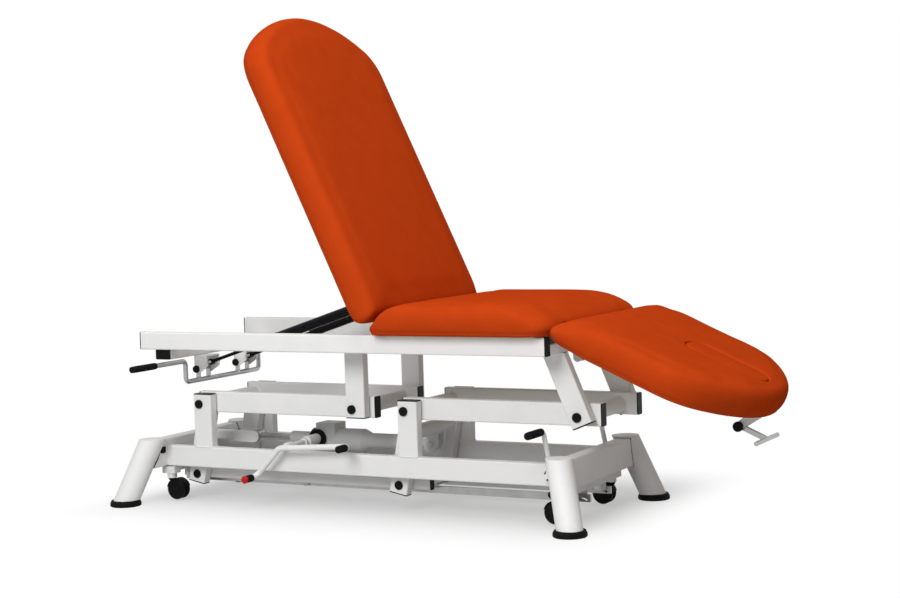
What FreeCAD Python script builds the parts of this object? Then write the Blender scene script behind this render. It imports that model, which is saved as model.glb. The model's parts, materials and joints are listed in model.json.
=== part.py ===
import FreeCAD, Part
import math
import os

V = FreeCAD.Vector
AXIS_Y = V(0, 1, 0)

# Driving dimensions in millimetres and degrees. +X points to the foot end,
# +Y to the far side, +Z up, with zero at the middle of the base on the floor.

# Steel tube sizes
tube_wall = 2.0
tube_corner = 4.0
plug_flange = 3.0
plug_depth = 12.0
running_fit = 0.05
slide_clear = 0.3

# Base frame
rail_h = 60.0
rail_w = 30.0
rail_bottom = 103.0
lift_half_w = 173.0
cross_h = 80.0
cross_w = 40.0
base_half_l = 676.0
cross_reach = 232.0

# Splayed legs and rubber feet
leg_d = 70.0
leg_wall = 3.0
leg_top = 188.0
leg_angle_along = 17.22
leg_angle_across = 19.8
foot_overhang = 32.0
foot_y = 290.0
foot_d = 90.0
foot_top_d = 82.0
foot_rim = 9.0
foot_h = 17.0
foot_sole = 6.0
seal_t = 3.0

# Lift linkage
post_w = 60.0
post_top = 315.0
pin_inset = 20.0
pivot_head_x = -514.0
pivot_span = 680.0
pivot_z = 288.0
arm_l = 516.0
arm_h = 60.0
arm_w = 30.0
arm_gap = 5.0
arm_rise = 3.0
arm_tail = 20.0
arm_nose = 52.0
pin_d = 16.0
pin_cap_d = 25.0
pin_cap_t = 8.0
torsion_d = 42.0
torsion_wall = 3.0
lever_l = 215.0
lever_lean = 11.3
lever_w = 56.0
lever_tail = 25.0
lever_pin_d = 14.0
lever_cap_t = 4.0
tie_w = 20.0
tie_h = 30.0
tie_gap = 2.0
tie_tail = 22.0
tie_nose = 80.0

# Linear actuator
act_y = 36.0
act_z = 170.0
act_anchor_x = -455.0
act_rod_d = 20.0
act_rod_end = -150.0
act_front = -330.0
act_front_d = 38.0
act_motor_x0 = -255.0
act_motor_l = 195.0
act_motor_d = 66.0
act_tube_d = 44.0
act_eye_d = 34.0
act_eye_w = 30.0
act_lug_t = 6.0
act_lug_gap = 2.0
act_lug_h = 46.0
act_torsion_offset = 50.0
anchor_beam_w = 40.0
anchor_beam_h = 25.0
anchor_pin_d = 12.0

# Upper frame
frame_rail_h = 50.0
frame_rail_w = 30.0
frame_bottom = 455.0
frame_half_w = 278.0
frame_head_x = -634.0
frame_foot_overhang = 26.0
bearer_h = 30.0
head_beam_x = -572.0
head_beam_w = 50.0
head_beam_h = 30.0
head_beam_reach = 256.0
upper_post_tail = 22.0
foot_post_lean = 22.5
foot_post_offset = 4.0
foot_post_tail = 24.0

# Upholstery
pad_w = 646.0
pad_t = 80.0
pad_lift = 1.0
pad_crown = 4.0
pad_side_roll = 27.0
pad_low_tuck = 0.6
board_t = 12.0
board_clear = 1.0
board_inset = 30.0
seat_rear = 151.0
seat_front_reach = 25.2
seat_rear_roll = 95.0
seat_rear_drop = 75.0
seat_rear_tuck = 40.0
seat_front_roll = 160.0
seat_front_drop = 69.0
seat_front_tuck = 25.0
seat_rear_corner = 18.0
seat_front_corner = 80.0
seat_loft_degree = 2
back_end = 130.0
back_l = 934.5
back_end_roll = 35.0
back_board_margin = 56.0
back_end_corner = 40.0
back_tip_rise = 192.0
back_tip_corner = 125.0
leg_rear_reach = 29.2
leg_l = 531.0
leg_rear_roll = 60.0
leg_rear_corner = 80.0
leg_tip_rise = 221.0
leg_tip_corner = 150.0
tip_roll = 27.0
plug_run = 360.0
plug_l = 236.0
plug_w = 104.0
plug_clear = 1.0
plug_ledge = 10.0

# Section hinges
back_angle = 65.0
leg_angle = 24.0
back_hinge_x = 130.0
back_hinge_z = 535.0
leg_hinge_offset = 32.6
leg_hinge_z = 523.0
hinge_y = 195.0
hinge_pin_d = 12.0
hinge_lug_t = 8.0
hinge_lug_r = 12.0
hinge_play = 1.0
bearer_tube_w = 30.0
bearer_tube_h = 15.0
bearer_tube_wall = 1.5

# Gas springs
spring_y = 100.0
spring_d = 28.0
spring_rod_d = 10.0
spring_low_x = -517.0
spring_low_z = 404.0
spring_top_x = 51.0
spring_top_z = 488.0
spring_body_l = 330.0
spring_eye_d = 18.0
spring_eye_w = 14.0
spring_clevis_gap = 26.0
spring_pin_d = 8.0
spring_shoulder = 34.0
spring_rod_l = 480.0
clevis_t = 4.0
clevis_bore_d = 6.0
clevis_head_d = 14.0
bracket_head_d = 12.0
bracket_head_t = 3.0
leg_spring_d = 22.0
leg_spring_low_z = 428.0
leg_spring_run = 226.0
leg_spring_top_z = 478.0
leg_spring_body_l = 135.0
leg_spring_rod_l = 194.0

# Release bar of the backrest
release_x = -547.0
release_pivot_z = 385.0
release_low_z = 353.0
release_high_z = 414.0
release_drop_y = 187.0
release_reach = 433.0
release_grip_l = 104.0
release_bar_d = 14.0
release_grip_d = 18.0
release_bend = 14.0
bracket_half_gap = 28.0
bracket_t = 4.0
bracket_w = 44.0

# Release lever of the foot section
tlever_inset = 75.0
tlever_z = 448.0
tlever_l = 78.0
tlever_bar_l = 172.0
tlever_bar_d = 12.0
tlever_gap = 16.0
tlever_base_run = 20.0
tlever_base_l = 32.0

# Pedal rocker and caster linkage
rocker_x = -220.0
rocker_z = 176.0
rocker_y = -208.0
rocker_bar_d = 17.0
rocker_shaft_d = 14.0
rocker_low_x = -300.0
rocker_low_z = 92.0
rocker_high_x = 12.0
rocker_high_z = 190.0
rocker_bend = 24.0
grip_l = 58.0
grip_d = 20.0
crank_y = 77.0
crank_t = 6.0
crank_w = 22.0
crank_pin_d = 7.0
crank_play = 0.8
push_y = 68.0
push_t = 8.0
push_h = 20.0
push_z = 59.0
push_travel = 25.0
caster_drop = 10.0
boss_d = 30.0
boss_y0 = -64.0
boss_l = 54.0
ring_d = 54.0
ring_t = 9.0
mid_tube_x = -300.0
mid_tube_w = 40.0
mid_tube_h = 20.0
mid_tube_z = 137.0
foot_shaft_inset = 37.0
foot_shaft_z = 133.0
pedal_y = 184.0
pedal_knee_run = 7.0
pedal_knee_z = 165.0
pedal_top_run = -10.0
pedal_top_z = 250.0
pedal_rod_d = 13.0
pedal_grip_l = 92.0
low_pedal_y = -92.0
low_pedal_run = -6.0
low_pedal_z = 78.0

# Casters
caster_inset = 4.0
carriage_inset = 4.0
carriage_w = 16.0
carriage_h = 20.0
carriage_gap = 3.0
guide_d = 14.0
guide_l = 20.0
guide_inset = 14.0
socket_d = 28.0
socket_l = 14.0
follower_pin_d = 6.0
slot_margin = 12.0
caster_trail = 22.0
wheel_d = 60.0
wheel_z = 34.0
wheel_t = 13.0
wheel_gap = 4.5
wheel_axle_d = 8.0
stem_d = 10.0
stem_l = 10.0
fork_web = 8.0
fork_collar_d = 22.0
fork_collar_t = 3.0

# Places that follow from the sizes above
rail_top = rail_bottom + rail_h
rail_y = lift_half_w - rail_w / 2
rail_mid_z = rail_bottom + rail_h / 2
rail_end = base_half_l - cross_w
foot_x = base_half_l + foot_overhang
leg_run_x = math.tan(math.radians(leg_angle_along))
leg_run_y = math.tan(math.radians(leg_angle_across))
cross_x = base_half_l - cross_w / 2
pivot_foot_x = pivot_head_x + pivot_span
upper_head_x = pivot_head_x + arm_l
upper_foot_x = pivot_foot_x + arm_l
post_y = lift_half_w - rail_w / 2
arm_outer = lift_half_w - rail_w - arm_gap
arm_inner = arm_outer - arm_w
arm_y = (arm_outer + arm_inner) / 2
arm_mid_z = pivot_z + arm_rise
tie_y = arm_inner - tie_gap - tie_w / 2
frame_top = frame_bottom + frame_rail_h
frame_y = frame_half_w - frame_rail_w / 2
pad_bottom = frame_top + pad_lift
pad_mid = pad_bottom + pad_t / 2
pad_top = pad_bottom + pad_t + pad_crown
board_top = frame_top + board_t
deck_z = frame_top + board_clear
lever_dx = -lever_l * math.sin(math.radians(lever_lean))
lever_dz = -lever_l * math.cos(math.radians(lever_lean))
act_drop = pivot_z - act_z
act_eye_x = pivot_foot_x - act_drop * math.tan(math.radians(lever_lean))
back_hinge = V(back_hinge_x, 0, back_hinge_z)
foot_post_run = math.tan(math.radians(foot_post_lean)) * (frame_bottom - pivot_z)
foot_post_shift = foot_post_offset / math.cos(math.radians(foot_post_lean))
foot_post_top_x = upper_foot_x + foot_post_shift - foot_post_run
frame_foot_x = foot_post_top_x + frame_foot_overhang
leg_hinge_x = foot_post_top_x + leg_hinge_offset
leg_hinge = V(leg_hinge_x, 0, leg_hinge_z)
seat_front = leg_hinge_x + seat_front_reach
leg_rear = leg_hinge_x + leg_rear_reach
leg_tip = leg_rear + leg_l
plug_x = leg_rear + plug_run
leg_spring_low_x = foot_post_top_x
leg_spring_top_x = leg_rear + leg_spring_run
tlever_x = leg_tip - tlever_inset
tlever_base_x = tlever_x + tlever_base_run
foot_shaft_x = rail_end - foot_shaft_inset
pedal_knee_x = foot_shaft_x + pedal_knee_run
pedal_top_x = foot_shaft_x + pedal_top_run
low_pedal_x = foot_shaft_x + low_pedal_run
carriage_x = rail_end - caster_inset
carriage_bar_x = rail_end + carriage_inset
guide_x = rail_end - guide_inset
carriage_top = rail_bottom - carriage_gap
carriage_bottom = carriage_top - carriage_h
crank_arm = rocker_z - push_z
foot_crank_arm = foot_shaft_z - push_z
bearer_bottom = deck_z - bearer_tube_h
bearer_y = hinge_y + 1.5 * hinge_lug_t + hinge_play + bearer_tube_w / 2
act_reach = act_drop / math.cos(math.radians(lever_lean))

nodes = {}


def box(x0, x1, y0, y1, z0, z1):
    return Part.makeBox(x1 - x0, y1 - y0, z1 - z0, V(x0, y0, z0))


def rod(p0, p1, d):
    return Part.makeCylinder(d / 2, (p1 - p0).Length, p0, p1 - p0)


def rod_y(x, z, y0, y1, d):
    return Part.makeCylinder(d / 2, y1 - y0, V(x, y0, z), AXIS_Y)


def pipe(p0, p1, d, wall):
    return rod(p0, p1, d).cut(rod(p0, p1, d - 2 * wall))


def ring_y(x, z, y0, y1, d, bore):
    return rod_y(x, z, y0, y1, d).cut(rod_y(x, z, y0, y1, bore))


def turned(shape, angle, centre):
    copy = shape.copy()
    copy.rotate(centre, AXIS_Y, angle)
    return copy


def mirrored(shape):
    return shape.mirror(V(0, 0, 0), AXIS_Y)


def both_sides(shape):
    return [shape, mirrored(shape)]


def group(*shapes):
    flat = []
    for shape in shapes:
        flat.extend(shape if isinstance(shape, list) else [shape])
    return Part.makeCompound([solid for shape in flat for solid in shape.Solids])


def rounded_edges(points, radii, closed):
    """Straight runs joined by tangent arcs at the given corner radii."""
    count = len(points)
    starts = []
    ends = []
    arcs = []
    for i, point in enumerate(points):
        if not closed and i in (0, count - 1):
            starts.append(point)
            ends.append(point)
            arcs.append(None)
            continue
        back = (points[i - 1] - point).normalize()
        ahead = (points[(i + 1) % count] - point).normalize()
        half = back.getAngle(ahead) / 2
        run = radii[i] / math.tan(half)
        middle = (back + ahead).normalize() * (radii[i] / math.sin(half) - radii[i])
        starts.append(point + back * run)
        ends.append(point + ahead * run)
        arcs.append(Part.Arc(starts[i], point + middle, ends[i]).toShape())
    edges = []
    for i in range(count if closed else count - 1):
        follow = (i + 1) % count
        edges.append(Part.LineSegment(ends[i], starts[follow]).toShape())
        if arcs[follow]:
            edges.append(arcs[follow])
    return edges


def rounded_face(w, h, r):
    points = [V(-w / 2, -h / 2), V(w / 2, -h / 2), V(w / 2, h / 2), V(-w / 2, h / 2)]
    return Part.Face(Part.Wire(rounded_edges(points, [r] * 4, True)))


def tube_profile(w, h, wall, corner):
    outer = rounded_face(w, h, corner)
    return outer.cut(rounded_face(w - 2 * wall, h - 2 * wall, max(corner - wall, 0.5)))


def tube_z(z0, z1, x, y, w, d, wall=tube_wall):
    shape = tube_profile(w, d, wall, tube_corner).extrude(V(0, 0, z1 - z0))
    shape.translate(V(x, y, z0))
    return shape


def tube_x(x0, x1, y, z, w, h, wall=tube_wall):
    shape = tube_profile(w, h, wall, tube_corner).extrude(V(0, 0, x1 - x0))
    shape.rotate(V(0, 0, 0), V(1, 1, 1), 120)
    shape.translate(V(x0, y, z))
    return shape


def tube_y(y0, y1, x, z, w, h, wall=tube_wall):
    shape = tube_profile(h, w, wall, tube_corner).extrude(V(0, 0, y1 - y0))
    shape.rotate(V(0, 0, 0), V(1, 1, 1), -120)
    shape.translate(V(x, y0, z))
    return shape


def end_plug(w, h):
    """Plastic tube plug along +Z: flange above zero, insert below it."""
    flange = rounded_face(w, h, tube_corner).extrude(V(0, 0, plug_flange))
    inner_w = w - 2 * tube_wall - 2 * slide_clear
    inner_h = h - 2 * tube_wall - 2 * slide_clear
    insert = rounded_face(inner_w, inner_h, tube_corner / 2).extrude(V(0, 0, -plug_depth))
    return flange.fuse(insert).removeSplitter()


def plug_x_end(x, y, z, w, h, sign):
    shape = end_plug(w, h)
    shape.rotate(V(0, 0, 0), V(1, 1, 1), 120)
    if sign < 0:
        shape.rotate(V(0, 0, 0), V(0, 0, 1), 180)
    shape.translate(V(x, y, z))
    return shape


def plug_y_end(y, x, z, w, h, sign):
    shape = end_plug(h, w)
    shape.rotate(V(0, 0, 0), V(1, 1, 1), -120)
    if sign < 0:
        shape.rotate(V(0, 0, 0), V(0, 0, 1), 180)
    shape.translate(V(x, y, z))
    return shape


def capped_pin(x, z, y_tip, y_face, d, cap_d, cap_t):
    """Pivot pin along Y from its tip to a bevelled cap on the outer face."""
    way = 1 if y_face > y_tip else -1
    bevel = cap_t * 0.35
    end = y_face + way * cap_t
    profile = [V(0, y_tip, 0), V(d / 2, y_tip, 0), V(d / 2, y_face, 0), V(cap_d / 2, y_face, 0),
               V(cap_d / 2, end - way * bevel, 0), V(cap_d / 2 - bevel, end, 0), V(0, end, 0), V(0, y_tip, 0)]
    pin = Part.Face(Part.makePolygon(profile)).revolve(V(0, 0, 0), AXIS_Y, 360)
    pin.translate(V(x, 0, z))
    return pin


def bent_bar(points, d, bend):
    """Round bar swept along straight runs and tangent bends."""
    path = Part.Wire(rounded_edges(points, [bend] * len(points), False))
    along = points[1] - points[0]
    circle = Part.Wire(Part.Circle(points[0], along, d / 2).toShape())
    return path.makePipeShell([circle], True, False)


def plate_y(points, y0, y1):
    """Flat plate in the XZ plane between two Y planes."""
    ring = [V(x, y0, z) for x, z in points]
    return Part.Face(Part.makePolygon(ring + ring[:1])).extrude(V(0, y1 - y0, 0))


def lug(x, z, r, points, y0, y1, bore):
    """Plate with a round boss and a bore at one point."""
    shape = plate_y(points, y0, y1).fuse(rod_y(x, z, y0, y1, 2 * r)).removeSplitter()
    return shape.cut(rod_y(x, z, y0, y1, bore))


pad_heights = (-1, -0.85, -0.5, 0, 0.5, 0.85, 0.98)


def roll(height):
    """Share of the edge roll taken in at a relative height from -1 to 1."""
    return 1 - math.sqrt(1 - height * height)


def pad_levels():
    """Heights from the middle of a cushion, with the share of roll at each."""
    half = pad_t / 2
    levels = [(h * half, roll(h) * (pad_low_tuck if h < 0 else 1)) for h in pad_heights]
    return levels + [(half + 0.45 * pad_crown, 1.5), (half + pad_crown, 2.4)]


def square_outline(x0, x1, half_w, r0, r1, z):
    points = [V(x0, -half_w, z), V(x1, -half_w, z), V(x1, half_w, z), V(x0, half_w, z)]
    return Part.Wire(rounded_edges(points, [r0, r1, r1, r0], True))


def arched_outline(x0, spring_x, tip_x, half_w, r0, corner, z):
    """Outline with two rounded corners at x0 and a three-centre arch at the tip."""
    rise = abs(tip_x - spring_x)
    way = 1 if tip_x > spring_x else -1
    crown = ((half_w - corner) ** 2 + rise ** 2 - corner ** 2) / (2 * (rise - corner))
    centre_x = tip_x - way * crown
    lean = V(spring_x - centre_x, half_w - corner, 0).normalize()
    meet = V(centre_x + crown * lean.x, crown * lean.y, z)
    bisector = (lean + AXIS_Y).normalize() * corner
    middle = V(spring_x + bisector.x, half_w - corner + bisector.y, z)
    tip = V(tip_x, 0, z)
    side = V(spring_x, half_w, z)

    def flip(point):
        return V(point.x, -point.y, point.z)

    corners = [side, V(x0, half_w, z), V(x0, -half_w, z), flip(side)]
    edges = rounded_edges(corners, [0, r0, r0, 0], False)
    edges.append(Part.Arc(flip(side), flip(middle), flip(meet)).toShape())
    edges.append(Part.Arc(flip(meet), tip, meet).toShape())
    edges.append(Part.Arc(meet, middle, side).toShape())
    return Part.Wire(edges)


def seat_end_inset(dz, share, run, drop, tuck):
    """Long fall of one end of the seat, with a small tuck at its lower edge."""
    start = pad_t / 2 + pad_crown - drop
    if dz <= start:
        return tuck * share
    return run * roll((dz - start) / drop)


def seat_cushion():
    wires = []
    for dz, share in pad_levels():
        x0 = seat_rear + seat_end_inset(dz, share, seat_rear_roll, seat_rear_drop, seat_rear_tuck)
        x1 = seat_front - seat_end_inset(dz, share, seat_front_roll, seat_front_drop, seat_front_tuck)
        half_w = pad_w / 2 - pad_side_roll * share
        wires.append(square_outline(x0, x1, half_w, seat_rear_corner, seat_front_corner, pad_mid + dz))
    return Part.makeLoft(wires, True, False, False, seat_loft_degree)


def arched_cushion(end, tip, end_roll, corner, rise, tip_corner):
    way = 1 if tip > end else -1
    wires = []
    for dz, share in pad_levels():
        inset = pad_side_roll * share
        x0 = end + way * end_roll * share
        tip_x = tip - way * tip_roll * share
        spring_x = tip - way * rise
        wires.append(arched_outline(x0, spring_x, tip_x, pad_w / 2 - inset, corner,
                                    tip_corner - inset, pad_mid + dz))
    return Part.makeLoft(wires, True, False)


def board(x0, x1):
    return box(x0, x1, -pad_w / 2 + board_inset, pad_w / 2 - board_inset, frame_top, board_top)


def arched_board(end, tip, rise, tip_corner, margin):
    way = 1 if tip > end else -1
    wire = arched_outline(end + way * margin, tip - way * rise, tip - way * board_inset,
                          pad_w / 2 - board_inset, board_inset, tip_corner - board_inset, deck_z)
    return Part.Face(wire).extrude(V(0, 0, board_top - deck_z))


# Base frame

def leg_axis(sx, sy, z):
    return V(sx * (foot_x - leg_run_x * z), sy * (foot_y - leg_run_y * z), z)


def leg_bar(sx, sy, d, z0, z1):
    """Leaning round bar between two level cuts."""
    margin = leg_d
    bar = rod(leg_axis(sx, sy, z0 - margin), leg_axis(sx, sy, z1 + margin), d)
    reach = foot_x + foot_d
    return bar.common(box(-reach, reach, -reach, reach, z0, z1))


def splayed_leg(sx, sy):
    outer = leg_bar(sx, sy, leg_d, foot_sole, leg_top)
    return outer.cut(leg_bar(sx, sy, leg_d - 2 * leg_wall, foot_sole, leg_top - leg_wall))


def rubber_foot(sx, sy):
    centre = leg_axis(sx, sy, foot_h / 2)
    profile = [V(0, 0, 0), V(foot_d / 2 - 2, 0, 0), V(foot_d / 2, 0, 2), V(foot_d / 2, 0, foot_rim),
               V(foot_top_d / 2, 0, foot_h), V(0, 0, foot_h), V(0, 0, 0)]
    foot = Part.Face(Part.makePolygon(profile)).revolve(V(0, 0, 0), V(0, 0, 1), 360)
    foot.translate(V(centre.x, centre.y, 0))
    return foot.cut(leg_bar(sx, sy, leg_d, foot_sole, foot_h + 1))


def cross_member(sx):
    tube = tube_y(-cross_reach, cross_reach, sx * cross_x, rail_bottom + cross_h / 2, cross_w, cross_h)
    for sy in (-1, 1):
        tube = tube.cut(leg_bar(sx, sy, leg_d + 2 * seal_t, 0, leg_top + cross_h))
    return tube


def cross_seal(sx, sy):
    """Moulded seal between a cross tube and the leg that it meets."""
    bar = box(-cross_w / 2, cross_w / 2, 0, cross_reach, 0, cross_h)
    bar = bar if sy > 0 else mirrored(bar)
    bar.translate(V(sx * cross_x, 0, rail_bottom))
    band = leg_bar(sx, sy, leg_d + 2 * seal_t, 0, leg_top + cross_h)
    band = band.cut(leg_bar(sx, sy, leg_d, 0, leg_top + cross_h))
    pieces = bar.common(band).Solids
    return min(pieces, key=lambda solid: abs(solid.CenterOfMass.y))


def side_rail(sy):
    rail = tube_x(-rail_end, rail_end, sy * rail_y, rail_mid_z, rail_w, rail_h)
    for sx in (-1, 1):
        foot = V(sx * guide_x, sy * rail_y, rail_bottom - 1)
        rail = rail.cut(rod(foot, foot + V(0, 0, tube_wall + 2), guide_d + 2 * running_fit))
    bore = foot_shaft_bore()
    return rail.cut(bore)


def foot_shaft_bore():
    return rod_y(foot_shaft_x, foot_shaft_z, -lift_half_w, lift_half_w, rocker_shaft_d + 2 * running_fit)


def base_post(pivot_x):
    centre_x = pivot_x + post_w / 2 - pin_inset
    post = tube_z(rail_top, post_top, centre_x, post_y, post_w, rail_w)
    return post.cut(rod_y(pivot_x, pivot_z, post_y - rail_w, lift_half_w + 1, pin_d + 2 * running_fit))


def post_plug(pivot_x):
    shape = end_plug(post_w, rail_w)
    shape.translate(V(pivot_x + post_w / 2 - pin_inset, post_y, post_top))
    return shape


def anchor_beam():
    """Beam from the head cross tube that holds the actuator's rod eye."""
    end_x = act_anchor_x - act_eye_d
    beam = tube_x(-rail_end, end_x, act_y, act_z, anchor_beam_w, anchor_beam_h)
    cheek = [(end_x - act_eye_d, act_z - act_eye_d / 2), (act_anchor_x, act_z - act_eye_d / 2),
             (act_anchor_x, act_z + act_eye_d / 2), (end_x - act_eye_d, act_z + act_eye_d / 2)]
    shapes = [beam]
    bore = anchor_pin_d + 2 * running_fit
    outer = anchor_beam_w / 2
    for y0 in (act_y - outer - act_lug_t, act_y + outer):
        shapes.append(lug(act_anchor_x, act_z, act_eye_d / 2, cheek, y0, y0 + act_lug_t, bore))
    reach = outer + act_lug_t
    pin = rod_y(act_anchor_x, act_z, act_y - reach, act_y + reach, anchor_pin_d)
    spacer_w = outer - act_eye_w / 2 - slide_clear
    for sign in (-1, 1):
        y0 = act_y + sign * outer - (spacer_w if sign > 0 else 0)
        shapes.append(ring_y(act_anchor_x, act_z, y0, y0 + spacer_w, 2 * anchor_pin_d, bore))
    return shapes + [pin]


def pedal_mount():
    """Low cross tube, bearing bracket and rail block that carry the rocker shaft."""
    half = lift_half_w - rail_w
    tube = tube_y(-half, half, mid_tube_x, mid_tube_z, mid_tube_w, mid_tube_h)
    bore = rocker_shaft_d + 2 * running_fit
    web_y = boss_y0 + boss_l / 2
    top = mid_tube_z + mid_tube_h / 2
    left = mid_tube_x - mid_tube_w / 2
    right = mid_tube_x + mid_tube_w / 2
    web = [(left, top), (right, top), (rocker_x + boss_d / 2, rocker_z), (rocker_x - boss_d / 2, rocker_z)]
    bracket = plate_y(web, web_y - crank_t / 2, web_y + crank_t / 2)
    bracket = bracket.fuse(rod_y(rocker_x, rocker_z, boss_y0, boss_y0 + boss_l, boss_d)).removeSplitter()
    bracket = bracket.cut(rod_y(rocker_x, rocker_z, boss_y0, boss_y0 + boss_l, bore))
    side = boss_d / 2
    block = [(rocker_x - side, rail_top), (rocker_x + side, rail_top),
             (rocker_x + side * 0.7, rocker_z), (rocker_x - side * 0.7, rocker_z)]
    saddle = lug(rocker_x, rocker_z, side * 0.7, block, -lift_half_w, -lift_half_w + rail_w, bore)
    return [tube, bracket, saddle]


def shaft_bushes():
    """Black bearing ring of the rocker shaft and flanges of the foot shaft."""
    bore = rocker_shaft_d + 2 * running_fit
    ring_y0 = boss_y0 + boss_l
    shapes = [ring_y(rocker_x, rocker_z, ring_y0, ring_y0 + ring_t, ring_d, bore)]
    flange = ring_y(foot_shaft_x, foot_shaft_z, lift_half_w, lift_half_w + plug_flange, boss_d, bore)
    return shapes + both_sides(flange)


corner_signs = [(sx, sy) for sx in (-1, 1) for sy in (-1, 1)]
nodes["base_rail_near"] = side_rail(-1)
nodes["base_rail_far"] = side_rail(1)
for end_name, sx in (("head", -1), ("foot", 1)):
    nodes["cross_member_" + end_name] = cross_member(sx)
    nodes["legs_" + end_name] = group([splayed_leg(sx, sy) for sy in (-1, 1)])
nodes["rubber_feet"] = group([rubber_foot(sx, sy) for sx, sy in corner_signs])
post_pivots = (pivot_head_x, pivot_foot_x)
nodes["base_posts"] = group(*[both_sides(base_post(x)) for x in post_pivots])
base_pins = [capped_pin(x, pivot_z, arm_inner, lift_half_w, pin_d, pin_cap_d, pin_cap_t)
             for x in post_pivots]
nodes["base_pivot_pins"] = group(*[both_sides(pin) for pin in base_pins])
nodes["base_plugs"] = group(*[both_sides(post_plug(x)) for x in post_pivots],
                            [cross_seal(sx, sy) for sx, sy in corner_signs], shaft_bushes())
nodes["actuator_anchor"] = group(anchor_beam())
nodes["pedal_mount"] = group(pedal_mount())


# Lift cranks and tie bars

def crank_arm_tube(pivot_x):
    arm = tube_x(pivot_x - arm_tail, pivot_x + arm_l + arm_nose, arm_y, arm_mid_z, arm_w, arm_h)
    for x in (pivot_x, pivot_x + arm_l):
        arm = arm.cut(rod_y(x, pivot_z, arm_inner - 1, arm_outer + 1, pin_d + 2 * running_fit))
    return arm


def lever_tube(pivot_x):
    """Leaning lever welded under the arm at its pivot."""
    end_z = pivot_z - lever_l - lever_tail + plug_flange
    tube = tube_z(end_z, pivot_z + arm_h, pivot_x, arm_y, lever_w, arm_w)
    tube = turned(tube, lever_lean, V(pivot_x, 0, pivot_z))
    reach = lever_l + arm_h
    below = box(pivot_x - reach, pivot_x + reach, 0, arm_outer + 1, 0, arm_mid_z - arm_h / 2)
    tube = tube.common(below)
    pin_x = pivot_x + lever_dx
    pin_z = pivot_z + lever_dz
    return tube.cut(rod_y(pin_x, pin_z, arm_inner - 1, arm_outer + 1, lever_pin_d + 2 * running_fit))


def lever_plug(pivot_x):
    shape = end_plug(lever_w, arm_w)
    shape.rotate(V(0, 0, 0), V(1, 0, 0), 180)
    shape.translate(V(pivot_x, arm_y, pivot_z - lever_l - lever_tail + plug_flange))
    return turned(shape, lever_lean, V(pivot_x, 0, pivot_z))


def crank_plugs(pivot_x):
    nose = plug_x_end(pivot_x + arm_l + arm_nose, arm_y, arm_mid_z, arm_w, arm_h, 1)
    tail = plug_x_end(pivot_x - arm_tail, arm_y, arm_mid_z, arm_w, arm_h, -1)
    return both_sides(nose) + both_sides(tail) + both_sides(lever_plug(pivot_x))


def torsion_tube(x, z):
    return pipe(V(x, -arm_inner, z), V(x, arm_inner, z), torsion_d, torsion_wall)


def actuator_horn():
    """Cross tube between the foot levers with two cheeks for the actuator eye."""
    along = act_reach - act_torsion_offset
    lean = math.radians(lever_lean)
    tube_x_at = pivot_foot_x - along * math.sin(lean)
    tube_z_at = pivot_z - along * math.cos(lean)
    shapes = [torsion_tube(tube_x_at, tube_z_at)]
    half = act_lug_h / 2
    corners = [(tube_x_at - half * 0.7, tube_z_at), (act_eye_x - half, act_z),
               (act_eye_x - half * 0.6, act_z - half), (act_eye_x + half * 0.6, act_z - half),
               (act_eye_x + half, act_z), (tube_x_at + half * 0.7, tube_z_at)]
    gap = act_eye_w / 2 + act_lug_gap
    hub = rod_y(tube_x_at, tube_z_at, -arm_inner, arm_inner, torsion_d)
    for y0 in (act_y - gap - act_lug_t, act_y + gap):
        shapes.append(plate_y(corners, y0, y0 + act_lug_t).cut(hub))
        outside = y0 - act_lug_t if y0 < act_y else y0 + act_lug_t
        shapes.append(rod_y(act_eye_x, act_z, outside, outside + act_lug_t, anchor_pin_d * 1.5))
    return shapes


for crank, x in (("head", pivot_head_x), ("foot", pivot_foot_x)):
    nodes[crank + "_crank"] = group(both_sides(crank_arm_tube(x)), both_sides(lever_tube(x)))
    tubes = [torsion_tube(x, pivot_z), torsion_tube(x + arm_l, pivot_z)]
    nodes[crank + "_cross_tubes"] = group(tubes, actuator_horn() if crank == "foot" else [])
    nodes[crank + "_crank_plugs"] = group(crank_plugs(x))

tie_z = pivot_z + lever_dz
tie_x0 = pivot_head_x + lever_dx - tie_tail
tie_x1 = pivot_foot_x + lever_dx + tie_nose


def tie_bar():
    bar = tube_x(tie_x0, tie_x1, tie_y, tie_z, tie_w, tie_h)
    for pivot_x in post_pivots:
        bore = lever_pin_d + 2 * running_fit
        bar = bar.cut(rod_y(pivot_x + lever_dx, tie_z, tie_y - tie_w, tie_y + tie_w, bore))
    return bar


tie_pins = [capped_pin(x + lever_dx, tie_z, tie_y - tie_w / 2, arm_outer, lever_pin_d, pin_cap_d, lever_cap_t)
            for x in post_pivots]
tie_plugs = [plug_x_end(tie_x1, tie_y, tie_z, tie_w, tie_h, 1),
             plug_x_end(tie_x0, tie_y, tie_z, tie_w, tie_h, -1)]
nodes["tie_bars"] = group(both_sides(tie_bar()))
nodes["tie_fittings"] = group(*[both_sides(piece) for piece in tie_pins + tie_plugs])


# Linear actuator

def actuator_rod():
    eye = ring_y(act_anchor_x, act_z, act_y - act_eye_w / 2, act_y + act_eye_w / 2,
                 act_eye_d, anchor_pin_d + 2 * running_fit)
    neck = rod(V(act_anchor_x, act_y, act_z), V(act_rod_end, act_y, act_z), act_rod_d)
    hollow = rod_y(act_anchor_x, act_z, act_y - act_eye_w, act_y + act_eye_w, act_eye_d - 4)
    return eye.fuse(neck.cut(hollow)).removeSplitter()


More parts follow.
